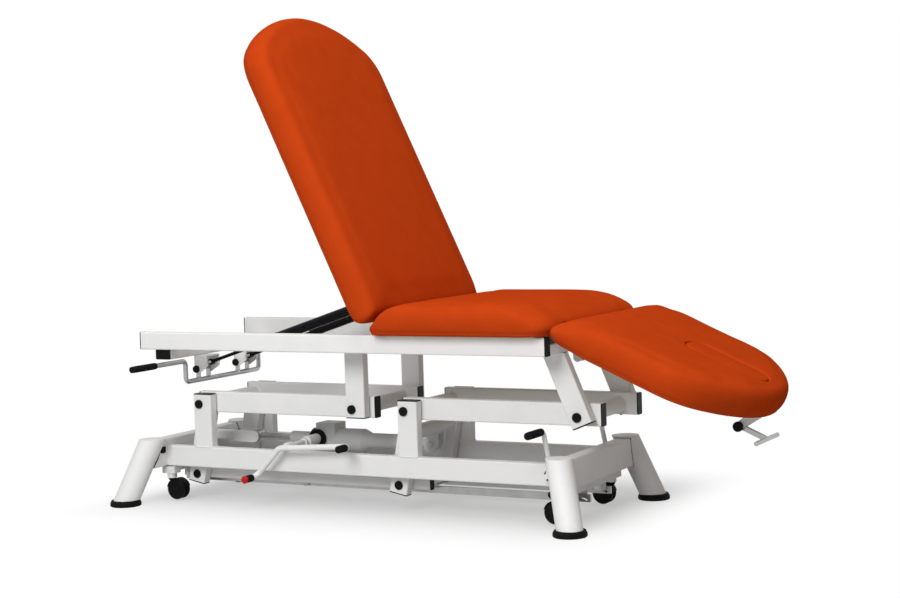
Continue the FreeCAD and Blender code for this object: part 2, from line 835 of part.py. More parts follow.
def actuator_tube():
    """Outer tube with the rod bore at one end and a solid eye at the other."""
    motor_end = act_motor_x0 + act_motor_l
    front = rod(V(act_front, act_y, act_z), V(act_motor_x0, act_y, act_z), act_front_d)
    shoulder = act_eye_x - act_torsion_offset * 1.2
    rear = rod(V(motor_end, act_y, act_z), V(shoulder, act_y, act_z), act_tube_d)
    neck = rod(V(shoulder, act_y, act_z), V(act_eye_x, act_y, act_z), act_eye_w * 0.8)
    eye = rod_y(act_eye_x, act_z, act_y - act_eye_w / 2, act_y + act_eye_w / 2, act_eye_d)
    bore = rod(V(act_front, act_y, act_z), V(act_motor_x0, act_y, act_z), act_rod_d + 2 * running_fit)
    return [front.cut(bore), rear.fuse([neck, eye]).removeSplitter()]


def actuator_motor():
    """Motor can with stepped end bells and a gear case below it."""
    x0 = act_motor_x0
    x1 = act_motor_x0 + act_motor_l
    step = 0.12 * act_motor_l
    small = act_motor_d - 8
    profile = [V(x0, 0, 0), V(x0, 0, small / 2), V(x0 + step, 0, small / 2), V(x0 + step, 0, act_motor_d / 2),
               V(x1 - step, 0, act_motor_d / 2), V(x1, 0, act_tube_d / 2), V(x1, 0, 0), V(x0, 0, 0)]
    can = Part.Face(Part.makePolygon(profile)).revolve(V(0, 0, 0), V(1, 0, 0), 360)
    can.translate(V(0, act_y, act_z))
    case = box(x0 + step, x0 + step + act_motor_d, act_y - act_motor_d / 2, act_y + act_motor_d / 2,
               act_z, act_z + act_motor_d * 0.75)
    case = case.makeFillet(6.0, [edge for edge in case.Edges if edge.BoundBox.ZLength > 1])
    body = can.fuse(case).removeSplitter()
    return body.cut(rod(V(x0, act_y, act_z), V(x1, act_y, act_z), act_rod_d + 2 * running_fit))


nodes["actuator_rod"] = actuator_rod()
nodes["actuator_tube"] = group(actuator_tube())
nodes["actuator_motor"] = actuator_motor()


# Upper frame

def head_upper_post():
    centre_x = upper_head_x + post_w / 2 - pin_inset
    post = tube_z(pivot_z - upper_post_tail, frame_bottom, centre_x, post_y, post_w, rail_w)
    return post.cut(rod_y(upper_head_x, pivot_z, arm_outer, lift_half_w + 1, pin_d + 2 * running_fit))


def foot_upper_post():
    """Leaning post under the foot bearer, cut level with its underside."""
    low = pivot_z - foot_post_tail
    post = tube_z(low, frame_top + post_w, upper_foot_x + foot_post_offset, post_y, post_w, rail_w)
    post = turned(post, -foot_post_lean, V(upper_foot_x, 0, pivot_z))
    below = box(0, upper_foot_x + frame_bottom, 0, lift_half_w + 1, 0, frame_bottom)
    post = post.common(below)
    return post.cut(rod_y(upper_foot_x, pivot_z, arm_outer, lift_half_w + 1, pin_d + 2 * running_fit))


def upper_post_plugs():
    head = end_plug(post_w, rail_w)
    head.rotate(V(0, 0, 0), V(1, 0, 0), 180)
    foot = head.copy()
    head.translate(V(upper_head_x + post_w / 2 - pin_inset, post_y, pivot_z - upper_post_tail))
    foot.translate(V(upper_foot_x + foot_post_offset, post_y, pivot_z - foot_post_tail))
    return [head, turned(foot, -foot_post_lean, V(upper_foot_x, 0, pivot_z))]


bearer_z = frame_bottom + bearer_h / 2
frame_inner = frame_half_w - frame_rail_w
head_beam_z = frame_bottom - head_beam_h / 2


def spring_bracket():
    """Folded bracket under the head beam for one gas spring and the release bar."""
    x0 = head_beam_x + head_beam_w / 2 - bracket_t * 2
    x1 = x0 + bracket_w
    top = frame_bottom - head_beam_h
    low = release_pivot_z - hinge_lug_r
    shapes = []
    cheek = [(x0, top), (x0, release_pivot_z), (release_x - hinge_lug_r * 0.6, low),
             (release_x + hinge_lug_r * 0.6, low), (x1, spring_low_z - hinge_lug_r), (x1, top)]
    for y0 in (spring_y - bracket_half_gap - bracket_t, spring_y + bracket_half_gap):
        plate = plate_y(cheek, y0, y0 + bracket_t)
        bore = rod_y(release_x, release_pivot_z, y0, y0 + bracket_t, spring_pin_d + 2 * running_fit)
        shapes.append(plate.cut(bore))
    roof = box(x0, x1, spring_y - bracket_half_gap, spring_y + bracket_half_gap, top - bracket_t, top)
    pin = rod_y(spring_low_x, spring_low_z, spring_y - bracket_half_gap, spring_y + bracket_half_gap,
                spring_pin_d)
    outside = bracket_half_gap + bracket_t
    heads = [rod_y(spring_low_x, spring_low_z, y0, y0 + bracket_head_t, bracket_head_d)
             for y0 in (spring_y - outside - bracket_head_t, spring_y + outside)]
    return shapes + [roof, pin] + heads


def back_hinge_lug():
    """Fixed lug on a rail bracket that carries the backrest's hinge pin."""
    y0 = hinge_y - hinge_lug_t / 2
    base = frame_top - bearer_tube_h
    half = hinge_lug_r * 1.6
    plate = [(back_hinge_x - half, base), (back_hinge_x + half, base),
             (back_hinge_x + hinge_lug_r, back_hinge_z), (back_hinge_x - hinge_lug_r, back_hinge_z)]
    shape = lug(back_hinge_x, back_hinge_z, hinge_lug_r, plate, y0, y0 + hinge_lug_t,
                hinge_pin_d + 2 * running_fit)
    shelf = box(back_hinge_x - half, back_hinge_x + half, y0, frame_inner, base - hinge_lug_t, base)
    return [shape, shelf]


def leg_hinge_lug():
    """Fixed lug on the foot bearer that carries the foot section's hinge pin."""
    y0 = hinge_y - hinge_lug_t / 2
    base = frame_bottom + bearer_h
    half = hinge_lug_r * 1.3
    centre = foot_post_top_x
    plate = [(centre - half, base), (centre + half, base),
             (leg_hinge_x + hinge_lug_r, leg_hinge_z), (leg_hinge_x - hinge_lug_r, leg_hinge_z)]
    return lug(leg_hinge_x, leg_hinge_z, hinge_lug_r, plate, y0, y0 + hinge_lug_t,
               hinge_pin_d + 2 * running_fit)


def leg_spring_bracket():
    """Pair of cheeks under the foot bearer for the foot section's gas spring."""
    gap = spring_clevis_gap / 2
    r = spring_eye_d / 2 + bracket_head_t
    plate = [(leg_spring_low_x - r, frame_bottom), (leg_spring_low_x + r, frame_bottom),
             (leg_spring_low_x + r, leg_spring_low_z), (leg_spring_low_x - r, leg_spring_low_z)]
    bore = spring_pin_d + 2 * running_fit
    cheeks = [lug(leg_spring_low_x, leg_spring_low_z, r, plate, y0, y0 + clevis_t, bore)
              for y0 in (-gap - clevis_t, gap)]
    reach = gap + clevis_t
    return cheeks + [rod_y(leg_spring_low_x, leg_spring_low_z, -reach, reach, spring_pin_d)]


def top_rail(sy):
    return tube_x(frame_head_x, frame_foot_x, sy * frame_y, frame_bottom + frame_rail_h / 2,
                  frame_rail_w, frame_rail_h)


head_stub = tube_y(post_y - rail_w / 2, frame_inner, upper_head_x + post_w / 2 - pin_inset, bearer_z,
                   post_w, bearer_h)
foot_bearer = tube_y(-frame_inner, frame_inner, foot_post_top_x, bearer_z, post_w, bearer_h)
head_beam = tube_y(-head_beam_reach, head_beam_reach, head_beam_x, head_beam_z, head_beam_w, head_beam_h)
rail_plugs = [plug_x_end(x, frame_y, frame_bottom + frame_rail_h / 2, frame_rail_w, frame_rail_h, sign)
              for x, sign in ((frame_head_x, -1), (frame_foot_x, 1))]
beam_plug = plug_y_end(head_beam_reach, head_beam_x, head_beam_z, head_beam_w, head_beam_h, 1)
top_pins = [capped_pin(x, pivot_z, arm_inner, lift_half_w, pin_d, pin_cap_d, pin_cap_t)
            for x in (upper_head_x, upper_foot_x)]

nodes["top_rail_near"] = top_rail(-1)
nodes["top_rail_far"] = top_rail(1)
nodes["top_bearers"] = group(both_sides(head_stub), foot_bearer, head_beam)
nodes["upper_posts"] = group(both_sides(head_upper_post()), both_sides(foot_upper_post()))
nodes["top_caps"] = group(*[both_sides(piece) for piece in
                            rail_plugs + [beam_plug] + upper_post_plugs() + top_pins])
nodes["frame_brackets"] = group(*[both_sides(piece) for piece in spring_bracket() + back_hinge_lug()],
                                both_sides(leg_hinge_lug()), leg_spring_bracket())


# Upholstered sections, modelled level and then turned to the stored pose

def hinge_notch(x, z, x0, x1, z0, z1):
    """Slots in a cushion or board that clear the hinge lugs."""
    half = hinge_lug_t * 1.5 + 3 * hinge_play
    slot = box(x0, x1, hinge_y - half, hinge_y + half, z0, z1)
    return group(both_sides(slot), both_sides(rod_y(x, z, hinge_y - half, hinge_y + half, 2.6 * hinge_lug_r)))


def hinge_ears(hinge, points):
    """Two moving ears beside each fixed lug, with the hinge pin through them."""
    shapes = []
    for y0 in (hinge_y - hinge_lug_t * 1.5 - hinge_play, hinge_y + hinge_lug_t * 0.5 + hinge_play):
        shapes.append(lug(hinge.x, hinge.z, hinge_lug_r, points, y0, y0 + hinge_lug_t,
                          hinge_pin_d + 2 * running_fit))
    reach = hinge_lug_t * 1.5 + hinge_play
    shapes.append(rod_y(hinge.x, hinge.z, hinge_y - reach, hinge_y + reach, hinge_pin_d))
    return shapes


seat_board_x1 = leg_hinge_x - 2.6 * hinge_lug_r
seat_notch = hinge_notch(leg_hinge_x, leg_hinge_z, seat_board_x1, seat_front,
                         0, leg_hinge_z + hinge_lug_r)
seat_board = board(seat_rear + board_inset, seat_board_x1)
nodes["seat_board"] = seat_board
nodes["seat_pad"] = seat_cushion().cut(seat_board).cut(seat_notch)

back_tip = back_end - back_l
back_frame_x1 = back_hinge_x - 4 * hinge_lug_r
ear_reach = 3 * hinge_lug_r
back_notch = hinge_notch(back_hinge_x, back_hinge_z, back_frame_x1 - ear_reach * 0.25, seat_rear,
                         0, back_hinge_z + 1.3 * hinge_lug_r)
back_board = arched_board(back_end, back_tip, back_tip_rise, back_tip_corner, back_board_margin)
back_board = back_board.cut(back_notch)
back_pad = arched_cushion(back_end, back_tip, back_end_roll, back_end_corner, back_tip_rise, back_tip_corner)
back_pad = back_pad.cut(back_board).cut(back_notch)


def bearer_tube(x0, x1):
    profile = tube_profile(bearer_tube_w, bearer_tube_h, bearer_tube_wall, tube_corner * 0.6)
    shape = profile.extrude(V(0, 0, x1 - x0))
    shape.rotate(V(0, 0, 0), V(1, 1, 1), 120)
    shape.translate(V(x0, bearer_y, bearer_bottom + bearer_tube_h / 2))
    return shape


def spring_clevis(x, z, y):
    """Cheeks under a board that hold a gas spring's end eye."""
    gap = spring_clevis_gap / 2
    r = spring_eye_d / 2 + clevis_t
    plate = [(x - 1.6 * r, deck_z), (x - r, z), (x + r, z), (x + 1.6 * r, deck_z)]
    shapes = [lug(x, z, r, plate, y0, y0 + clevis_t, clevis_bore_d)
              for y0 in (y - gap - clevis_t, y + gap)]
    heads = [rod_y(x, z, y0, y0 + clevis_t, clevis_head_d)
             for y0 in (y - gap - 2 * clevis_t, y + gap + clevis_t)]
    return shapes + heads


back_ear = [(back_frame_x1 - ear_reach, bearer_bottom), (back_frame_x1, bearer_bottom),
            (back_hinge_x + hinge_lug_r * 0.7, back_hinge_z - hinge_lug_r * 0.7),
            (back_hinge_x - hinge_lug_r * 0.7, back_hinge_z + hinge_lug_r * 0.7),
            (back_frame_x1 - ear_reach * 0.2, deck_z), (back_frame_x1 - ear_reach, deck_z)]
back_tubes = bearer_tube(back_tip + back_tip_rise, back_frame_x1)
back_frame = group(both_sides(back_tubes), *[both_sides(piece) for piece in hinge_ears(back_hinge, back_ear)],
                   *[both_sides(piece) for piece in spring_clevis(spring_top_x, spring_top_z, spring_y)])


def obround(length, width, z0, z1):
    """Upright block with two half-round ends, centred on the face opening."""
    r = width / 2
    half = length / 2 - r
    block = box(plug_x - half, plug_x + half, -r, r, z0, z1)
    ends = [rod(V(plug_x + s * half, 0, z0), V(plug_x + s * half, 0, z1), width) for s in (-1, 1)]
    return block.fuse(ends).removeSplitter()


leg_cushion = arched_cushion(leg_rear, leg_tip, leg_rear_roll, leg_rear_corner, leg_tip_rise, leg_tip_corner)
leg_board = arched_board(leg_rear, leg_tip, leg_tip_rise, leg_tip_corner, leg_rear_roll)
leg_board = leg_board.cut(obround(plug_l - 2 * plug_ledge, plug_w - 2 * plug_ledge, deck_z, board_top))
leg_pad = leg_cushion.cut(leg_board).cut(obround(plug_l, plug_w, deck_z, pad_top + 1))
plug_block = obround(plug_l - 2 * plug_clear, plug_w - 2 * plug_clear, board_top + slide_clear, pad_top + 1)
face_plug = leg_cushion.common(plug_block)

leg_frame_x0 = leg_rear + hinge_lug_r
leg_ear = [(leg_hinge_x - hinge_lug_r * 0.4, leg_hinge_z - hinge_lug_r * 0.8), (leg_frame_x0, bearer_bottom),
           (leg_frame_x0 + ear_reach, bearer_bottom), (leg_frame_x0 + ear_reach, deck_z),
           (leg_frame_x0, deck_z), (leg_hinge_x + hinge_lug_r * 0.4, leg_hinge_z + hinge_lug_r * 0.8)]
leg_tubes = bearer_tube(leg_frame_x0, leg_tip - leg_tip_rise)


def lever_bracket():
    """Two cheeks near the tip that carry the release lever of the foot section."""
    r = hinge_lug_r * 0.9
    plate = [(tlever_base_x, deck_z), (tlever_x - r * 0.8, tlever_z + r * 0.6),
             (tlever_x + r * 0.6, tlever_z - r * 0.8), (tlever_base_x + tlever_base_l, deck_z)]
    return [lug(tlever_x, tlever_z, r, plate, y0, y0 + clevis_t, tlever_bar_d + 2 * running_fit)
            for y0 in (-tlever_gap / 2 - clevis_t, tlever_gap / 2)]


leg_frame = group(both_sides(leg_tubes), *[both_sides(piece) for piece in hinge_ears(leg_hinge, leg_ear)],
                  spring_clevis(leg_spring_top_x, leg_spring_top_z, 0), lever_bracket())


def release_lever():
    """Lever with a cross handle, turning on a capped pin in its bracket."""
    arm_t = tlever_gap - 2 * hinge_play
    reach = tlever_gap / 2 + clevis_t
    arm = box(tlever_x, tlever_x + tlever_l, -arm_t / 2, arm_t / 2, tlever_z - tlever_bar_d / 2,
              tlever_z + tlever_bar_d / 2)
    hub = rod_y(tlever_x, tlever_z, -arm_t / 2, arm_t / 2, tlever_bar_d * 1.5)
    pin = rod_y(tlever_x, tlever_z, -reach, reach, tlever_bar_d)
    knobs = [rod_y(tlever_x, tlever_z, y0, y0 + clevis_t * 2, 2 * tlever_bar_d)
             for y0 in (-reach - clevis_t * 2, reach)]
    handle = rod_y(tlever_x + tlever_l, tlever_z, -tlever_bar_l / 2, tlever_bar_l / 2, tlever_bar_d)
    return arm.fuse([hub, pin, handle] + knobs).removeSplitter()


for name, shape in (("back_pad", back_pad), ("back_board", back_board), ("back_frame", back_frame)):
    nodes[name] = turned(shape, back_angle, back_hinge)
for name, shape in (("leg_pad", leg_pad), ("leg_board", leg_board), ("leg_frame", leg_frame),
                    ("face_plug", face_plug), ("leg_release_lever", release_lever())):
    nodes[name] = turned(shape, leg_angle, leg_hinge)


# Gas springs in the stored pose

def at_rest(x, z, angle, hinge):
    """Point of a turned section in the stored pose."""
    return turned(Part.Vertex(x, 0, z), angle, hinge).Point


def gas_spring(low, high, y, d, body_l, shoulder, rod_l):
    """Rod with an eye on the frame, and the cylinder with its upper eye."""
    span = high - low
    length = span.Length
    half = spring_eye_w / 2
    eye_bore = spring_pin_d + 2 * running_fit
    shaft = rod(V(0, 0, 0), V(rod_l, 0, 0), spring_rod_d).cut(rod_y(0, 0, -half, half, spring_eye_d - 2))
    piston = shaft.fuse(ring_y(0, 0, -half, half, spring_eye_d, eye_bore)).removeSplitter()
    top = length - shoulder
    body = rod(V(top - body_l, 0, 0), V(top, 0, 0), d)
    bore = rod(V(top - body_l, 0, 0), V(top - spring_eye_d / 2, 0, 0), spring_rod_d + 2 * running_fit)
    neck = rod(V(top, 0, 0), V(length, 0, 0), spring_rod_d)
    cylinder = body.cut(bore).fuse([neck, rod_y(length, 0, -half, half, spring_eye_d)]).removeSplitter()
    rise = math.degrees(math.atan2(span.z, span.x))
    placed = []
    for shape in (piston, cylinder):
        shape = turned(shape, -rise, V(0, 0, 0))
        shape.translate(V(low.x, y, low.z))
        placed.append(shape)
    return placed


spring_low = V(spring_low_x, 0, spring_low_z)
spring_high = at_rest(spring_top_x, spring_top_z, back_angle, back_hinge)
back_springs = [gas_spring(spring_low, spring_high, y, spring_d, spring_body_l, spring_shoulder, spring_rod_l)
                for y in (-spring_y, spring_y)]
nodes["back_spring_rods"] = group([pair[0] for pair in back_springs])
nodes["back_spring_cylinders"] = group([pair[1] for pair in back_springs])
leg_spring_low = V(leg_spring_low_x, 0, leg_spring_low_z)
leg_spring_high = at_rest(leg_spring_top_x, leg_spring_top_z, leg_angle, leg_hinge)
leg_spring = gas_spring(leg_spring_low, leg_spring_high, 0, leg_spring_d, leg_spring_body_l,
                        spring_shoulder, leg_spring_rod_l)
nodes["leg_spring_rod"] = leg_spring[0]
nodes["leg_spring_cylinder"] = leg_spring[1]


# Release bar across the head end

def release_bar():
    """Bent bar hung on two pins in the spring brackets."""
    drop = release_drop_y
    points = [(-release_reach, release_high_z), (-drop, release_high_z), (-drop, release_low_z),
              (drop, release_low_z), (drop, release_high_z), (release_reach, release_high_z)]
    bar = bent_bar([V(release_x, y, z) for y, z in points], release_bar_d, release_bend)
    pieces = []
    reach = bracket_half_gap + bracket_t
    side = release_bar_d / 2
    hanger = [(release_x - side, release_low_z), (release_x + side, release_low_z),
              (release_x + side, release_pivot_z), (release_x - side, release_pivot_z)]
    for y in (-spring_y, spring_y):
        pieces.append(rod_y(release_x, release_pivot_z, y - reach, y + reach, spring_pin_d))
        for y0 in (y - bracket_half_gap + hinge_play, y + bracket_half_gap - hinge_play - bracket_t):
            pieces.append(plate_y(hanger, y0, y0 + bracket_t))
            pieces.append(rod_y(release_x, release_pivot_z, y0, y0 + bracket_t, release_bar_d))
        for y0 in (y - reach - bracket_t, y + reach):
            pieces.append(rod_y(release_x, release_pivot_z, y0, y0 + bracket_t, release_bar_d))
    return bar.fuse(pieces).removeSplitter()


release_grip = ring_y(release_x, release_high_z, release_reach - release_grip_l, release_reach,
                      release_grip_d, release_bar_d)
release_tip = rod_y(release_x, release_high_z, release_reach, release_reach + plug_flange, release_grip_d)
nodes["release_bar"] = release_bar()
nodes["release_grips"] = group(both_sides(release_grip.fuse(release_tip).removeSplitter()))


# Pedals and caster linkage

def sleeve_grip(x, z, y_tip, y_root, bore):
    """Rubber grip pushed over the last stretch of a bar that points along Y."""
    low = min(y_tip, y_root)
    high = max(y_tip, y_root)
    way = 1 if y_tip > y_root else -1
    tip = Part.makeCylinder(grip_d / 2, plug_flange, V(x, y_tip, z), V(0, way, 0))
    return ring_y(x, z, low, high, grip_d, bore).fuse(tip).removeSplitter()


def crank_plate(x, z, y0):
    """Hanging crank with a pin that drives a push bar."""
    half = crank_w / 2
    low = push_z
    strip = [(x - half, low), (x + half, low), (x + half, z), (x - half, z)]
    return plate_y(strip, y0, y0 + crank_t).fuse([rod_y(x, low, y0, y0 + crank_t, crank_w),
                                                  rod_y(x, z, y0, y0 + crank_t, crank_w)])


def rocker_pedal():
    """Bent bar with a step at each end, on a shaft with one crank."""
    tip_y = rocker_y - grip_l
    points = [V(rocker_low_x, tip_y, rocker_low_z), V(rocker_low_x, rocker_y, rocker_low_z),
              V(rocker_x, rocker_y, rocker_z), V(rocker_high_x, rocker_y, rocker_high_z),
              V(rocker_high_x, tip_y, rocker_high_z)]
    bar = bent_bar(points, rocker_bar_d, rocker_bend)
    shaft = rod_y(rocker_x, rocker_z, rocker_y, boss_y0 + boss_l + ring_t, rocker_shaft_d)
    plate = crank_plate(rocker_x, rocker_z, -crank_y - crank_t / 2)
    pin = rod_y(rocker_x, push_z, -crank_y, -push_y + push_t / 2, crank_pin_d)
    return bar.fuse([shaft, plate, pin]).removeSplitter()


def foot_pedals():
    """Shaft through both side rails with two raised steps, one low step and two cranks."""
    reach = pedal_y + pedal_rod_d
    shaft = rod_y(foot_shaft_x, foot_shaft_z, -reach, reach, rocker_shaft_d)
    pieces = []
    for sy in (-1, 1):
        y = sy * pedal_y
        points = [V(foot_shaft_x, y, foot_shaft_z), V(pedal_knee_x, y, pedal_knee_z),
                  V(pedal_top_x, y, pedal_top_z), V(pedal_top_x, y + sy * pedal_grip_l, pedal_top_z)]
        pieces.append(bent_bar(points, pedal_rod_d, rocker_bend / 2))
        inner = sy * crank_y - crank_t / 2
        pieces.append(crank_plate(foot_shaft_x, foot_shaft_z, inner))
        ends = sorted((sy * crank_y, sy * (push_y - push_t / 2)))
        pieces.append(rod_y(foot_shaft_x, push_z, ends[0], ends[1], crank_pin_d))
    points = [V(foot_shaft_x, low_pedal_y, foot_shaft_z), V(low_pedal_x, low_pedal_y, low_pedal_z),
              V(low_pedal_x, low_pedal_y - grip_l, low_pedal_z)]
    pieces.append(bent_bar(points, pedal_rod_d, rocker_bend / 2))
    return shaft.fuse(pieces).removeSplitter()


def slot(x0, z0, x1, z1, width, y0, y1):
    """Round-ended slot cutter along a line in the XZ plane."""
    run = V(x1 - x0, 0, z1 - z0)
    side = V(-run.z, 0, run.x).normalize() * (width / 2)
    corners = [(x0 + side.x, z0 + side.z), (x1 + side.x, z1 + side.z),
               (x1 - side.x, z1 - side.z), (x0 - side.x, z0 - side.z)]
    return plate_y(corners, y0, y1).fuse([rod_y(x0, z0, y0, y1, width), rod_y(x1, z1, y0, y1, width)])


follower_z = push_z + caster_drop / 2
crank_slot_w = crank_pin_d + 2 * crank_play


def push_bar(sy):
    y0 = sy * push_y - push_t / 2
    y1 = y0 + push_t
    x0 = -carriage_x - slot_margin
    x1 = carriage_x + push_travel + slot_margin
    bar = box(x0, x1, y0, y1, push_z - push_h / 2, push_z + push_h / 2)
    for sx in (-1, 1):
        start = sx * carriage_x
        bar = bar.cut(slot(start, follower_z, start + push_travel, follower_z - caster_drop,
                           follower_pin_d + 2 * slide_clear, y0, y1))
    cranks = [(foot_shaft_x, foot_crank_arm)] + ([(rocker_x, crank_arm)] if sy < 0 else [])
    for x, arm in cranks:
        lift = arm * (1 - math.cos(push_travel / arm))
        bar = bar.cut(slot(x, push_z, x, push_z + lift, crank_slot_w, y0, y1))
    return bar


def carriage(sx):
    """Cross bar with guided ends, caster sockets and follower pins."""
    inner = lift_half_w - rail_w
    left = min(sx * carriage_bar_x, sx * (carriage_bar_x + carriage_w))
    body = box(left, left + carriage_w, -inner, inner, carriage_bottom, carriage_top)
    pieces = []
    block_x = sorted((sx * (guide_x - guide_d * 0.7), sx * (carriage_bar_x + carriage_w)))
    lug_x = sorted((sx * (carriage_x - carriage_w / 2), sx * (carriage_bar_x + carriage_w)))
    lug_side = push_y - push_t / 2 - slide_clear
    lug_low = follower_z - follower_pin_d
    holes = []
    for sy in (-1, 1):
        block_y = sorted((sy * inner, sy * lift_half_w))
        pieces.append(box(*block_x, *block_y, carriage_bottom, carriage_top))
        guide = V(sx * guide_x, sy * rail_y, carriage_top)
        pieces.append(rod(guide, guide + V(0, 0, guide_l), guide_d))
        socket = V(sx * carriage_x, sy * rail_y, carriage_bottom)
        pieces.append(rod(socket, socket - V(0, 0, socket_l), socket_d))
        holes.append(rod(socket + V(0, 0, 2), socket - V(0, 0, socket_l), stem_d + 2 * running_fit))
        lug_y = sorted((sy * lug_side, sy * (lug_side - crank_t)))
        pieces.append(box(*lug_x, *lug_y, lug_low, carriage_top))
        pin_y = sorted((sy * (push_y - push_t), sy * (push_y + push_t / 2)))
        pieces.append(rod_y(sx * carriage_x, follower_z, pin_y[0], pin_y[1], follower_pin_d))
    body = body.fuse(pieces).removeSplitter()
    for hole in holes:
        body = body.cut(hole)
    return body


def caster_fork(sx, sy):
    """Swivel stem with a web between the wheels and the wheel axle."""
    stem_x = sx * carriage_x
    axle_x = stem_x - sx * caster_trail
    y = sy * rail_y
    top = carriage_bottom - socket_l - slide_clear
    under = top - fork_collar_t
    collar = rod(V(stem_x, y, under), V(stem_x, y, top), fork_collar_d)
    stem = rod(V(stem_x, y, top), V(stem_x, y, top + stem_l), stem_d)
    r = fork_collar_d / 2
    web = [(axle_x - r, wheel_z), (axle_x + r, wheel_z), (stem_x + r, under), (stem_x - r, under)]
    low, high = y - fork_web / 2, y + fork_web / 2
    arm = plate_y(web, low, high).fuse(rod_y(axle_x, wheel_z, low, high, fork_collar_d))
    reach = wheel_gap + wheel_t
    axle = rod_y(axle_x, wheel_z, y - reach, y + reach, wheel_axle_d)
    return arm.fuse([collar, stem, axle]).removeSplitter()


def caster_wheel(sx, sy):
    """Pair of wheels with rounded treads on one axle."""
    axle_x = sx * (carriage_x - caster_trail)
    y = sy * rail_y
    r = wheel_d / 2
    bore = wheel_axle_d / 2 + running_fit
    soft = wheel_t * 0.3
    profile = [V(bore, 0, 0), V(r - soft, 0, 0), V(r, soft, 0), V(r, wheel_t - soft, 0),
               V(r - soft, wheel_t, 0), V(bore, wheel_t, 0), V(bore, 0, 0)]
    disc = Part.Face(Part.makePolygon(profile)).revolve(V(0, 0, 0), AXIS_Y, 360)
    outer = disc.copy()
    outer.translate(V(axle_x, y + wheel_gap, wheel_z))
    inner = disc.copy()
    inner.translate(V(axle_x, y - wheel_gap - wheel_t, wheel_z))
    return group([outer, inner])


nodes["rocker_pedal"] = rocker_pedal()
rocker_tip = rocker_y - grip_l
rocker_root = rocker_y - rocker_bend
rocker_steps = ((rocker_low_x, rocker_low_z), (rocker_high_x, rocker_high_z))
nodes["rocker_grips"] = group([sleeve_grip(x, z, rocker_tip, rocker_root, rocker_bar_d)
                               for x, z in rocker_steps])
nodes["foot_pedals"] = foot_pedals()
step = sleeve_grip(pedal_top_x, pedal_top_z, pedal_y + pedal_grip_l, pedal_y + rocker_bend / 2, pedal_rod_d)
low_step = sleeve_grip(low_pedal_x, low_pedal_z, low_pedal_y - grip_l, low_pedal_y - rocker_bend / 2,
                       pedal_rod_d)
nodes["foot_pedal_grips"] = group(both_sides(step), low_step)
inner_push = push_y - push_t / 2
push_ties = [rod_y(x, push_z, -inner_push, inner_push, crank_pin_d) for x in (pivot_head_x, pivot_foot_x)]
nodes["push_bars"] = group([push_bar(-1), push_bar(1)], push_ties)
for end_name, sx in (("head", -1), ("foot", 1)):
    nodes["caster_carriage_" + end_name] = carriage(sx)
    for side_name, sy in (("near", -1), ("far", 1)):
        nodes["caster_fork_%s_%s" % (end_name, side_name)] = caster_fork(sx, sy)
        nodes["caster_wheel_%s_%s" % (end_name, side_name)] = caster_wheel(sx, sy)


# Origin at the bottom centre of the whole object's box, then one file per node
whole = FreeCAD.BoundBox()
for shape in nodes.values():
    whole.add(shape.optimalBoundingBox(False))
origin_shift = V(-whole.Center.x, -whole.Center.y, -whole.ZMin)
os.makedirs("parts", exist_ok=True)
for name, shape in nodes.items():
    placed = shape.copy()
    placed.translate(origin_shift)
    placed.exportStep("parts/%s.step" % name)
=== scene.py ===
import json
import math

import bmesh
import bpy
import numpy as np
from bpy.props import FloatProperty, FloatVectorProperty, IntProperty, PointerProperty
from mathutils import Matrix, Vector, noise


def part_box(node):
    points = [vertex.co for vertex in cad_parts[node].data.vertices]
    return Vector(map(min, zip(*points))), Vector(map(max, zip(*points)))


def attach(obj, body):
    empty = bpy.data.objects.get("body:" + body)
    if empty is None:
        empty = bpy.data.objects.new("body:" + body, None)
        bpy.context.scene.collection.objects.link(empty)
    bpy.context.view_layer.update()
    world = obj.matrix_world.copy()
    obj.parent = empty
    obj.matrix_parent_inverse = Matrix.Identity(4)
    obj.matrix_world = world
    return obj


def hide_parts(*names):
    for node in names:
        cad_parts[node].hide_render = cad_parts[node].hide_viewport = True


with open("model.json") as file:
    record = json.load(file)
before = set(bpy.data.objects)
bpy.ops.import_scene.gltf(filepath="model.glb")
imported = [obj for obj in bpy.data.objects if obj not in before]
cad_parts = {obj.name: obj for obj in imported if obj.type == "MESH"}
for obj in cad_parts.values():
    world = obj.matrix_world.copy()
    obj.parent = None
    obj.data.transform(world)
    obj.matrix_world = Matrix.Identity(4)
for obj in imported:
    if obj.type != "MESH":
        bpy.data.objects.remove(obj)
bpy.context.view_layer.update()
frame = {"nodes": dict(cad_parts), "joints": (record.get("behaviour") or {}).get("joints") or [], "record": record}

bl_info = {
    "name": "Examination Table",
    "version": (1, 0, 0),
    "blender": (4, 5, 0),
    "location": "View3D > Sidebar > Exam Table",
    "description": "Upholstery, finishes and small parts of a three-section examination table",
    "category": "Object",
}

SLOT_OF = {part["node"]: part["material_slot"] for part in frame["record"]["subparts"]}
BOTH_SIDES = (-1.0, 1.0)


def tint(name, description, default):
    """A colour that the user can set."""
    return FloatVectorProperty(
        name=name, description=description, default=default, subtype="COLOR")


def distance(name, description, default):
    """A length in metres that the user can set."""
    return FloatProperty(
        name=name, description=description, default=default, subtype="DISTANCE", unit="LENGTH")


def rotation(name, description, degrees):
    """An angle that the user can set."""
    return FloatProperty(
        name=name, description=description, default=math.radians(degrees), subtype="ANGLE",
        unit="ROTATION")


def lamp_power(name, description, watts):
    """The power of a lamp that the user can set."""
    return FloatProperty(
        name=name, description=description, default=watts, subtype="POWER", unit="POWER")


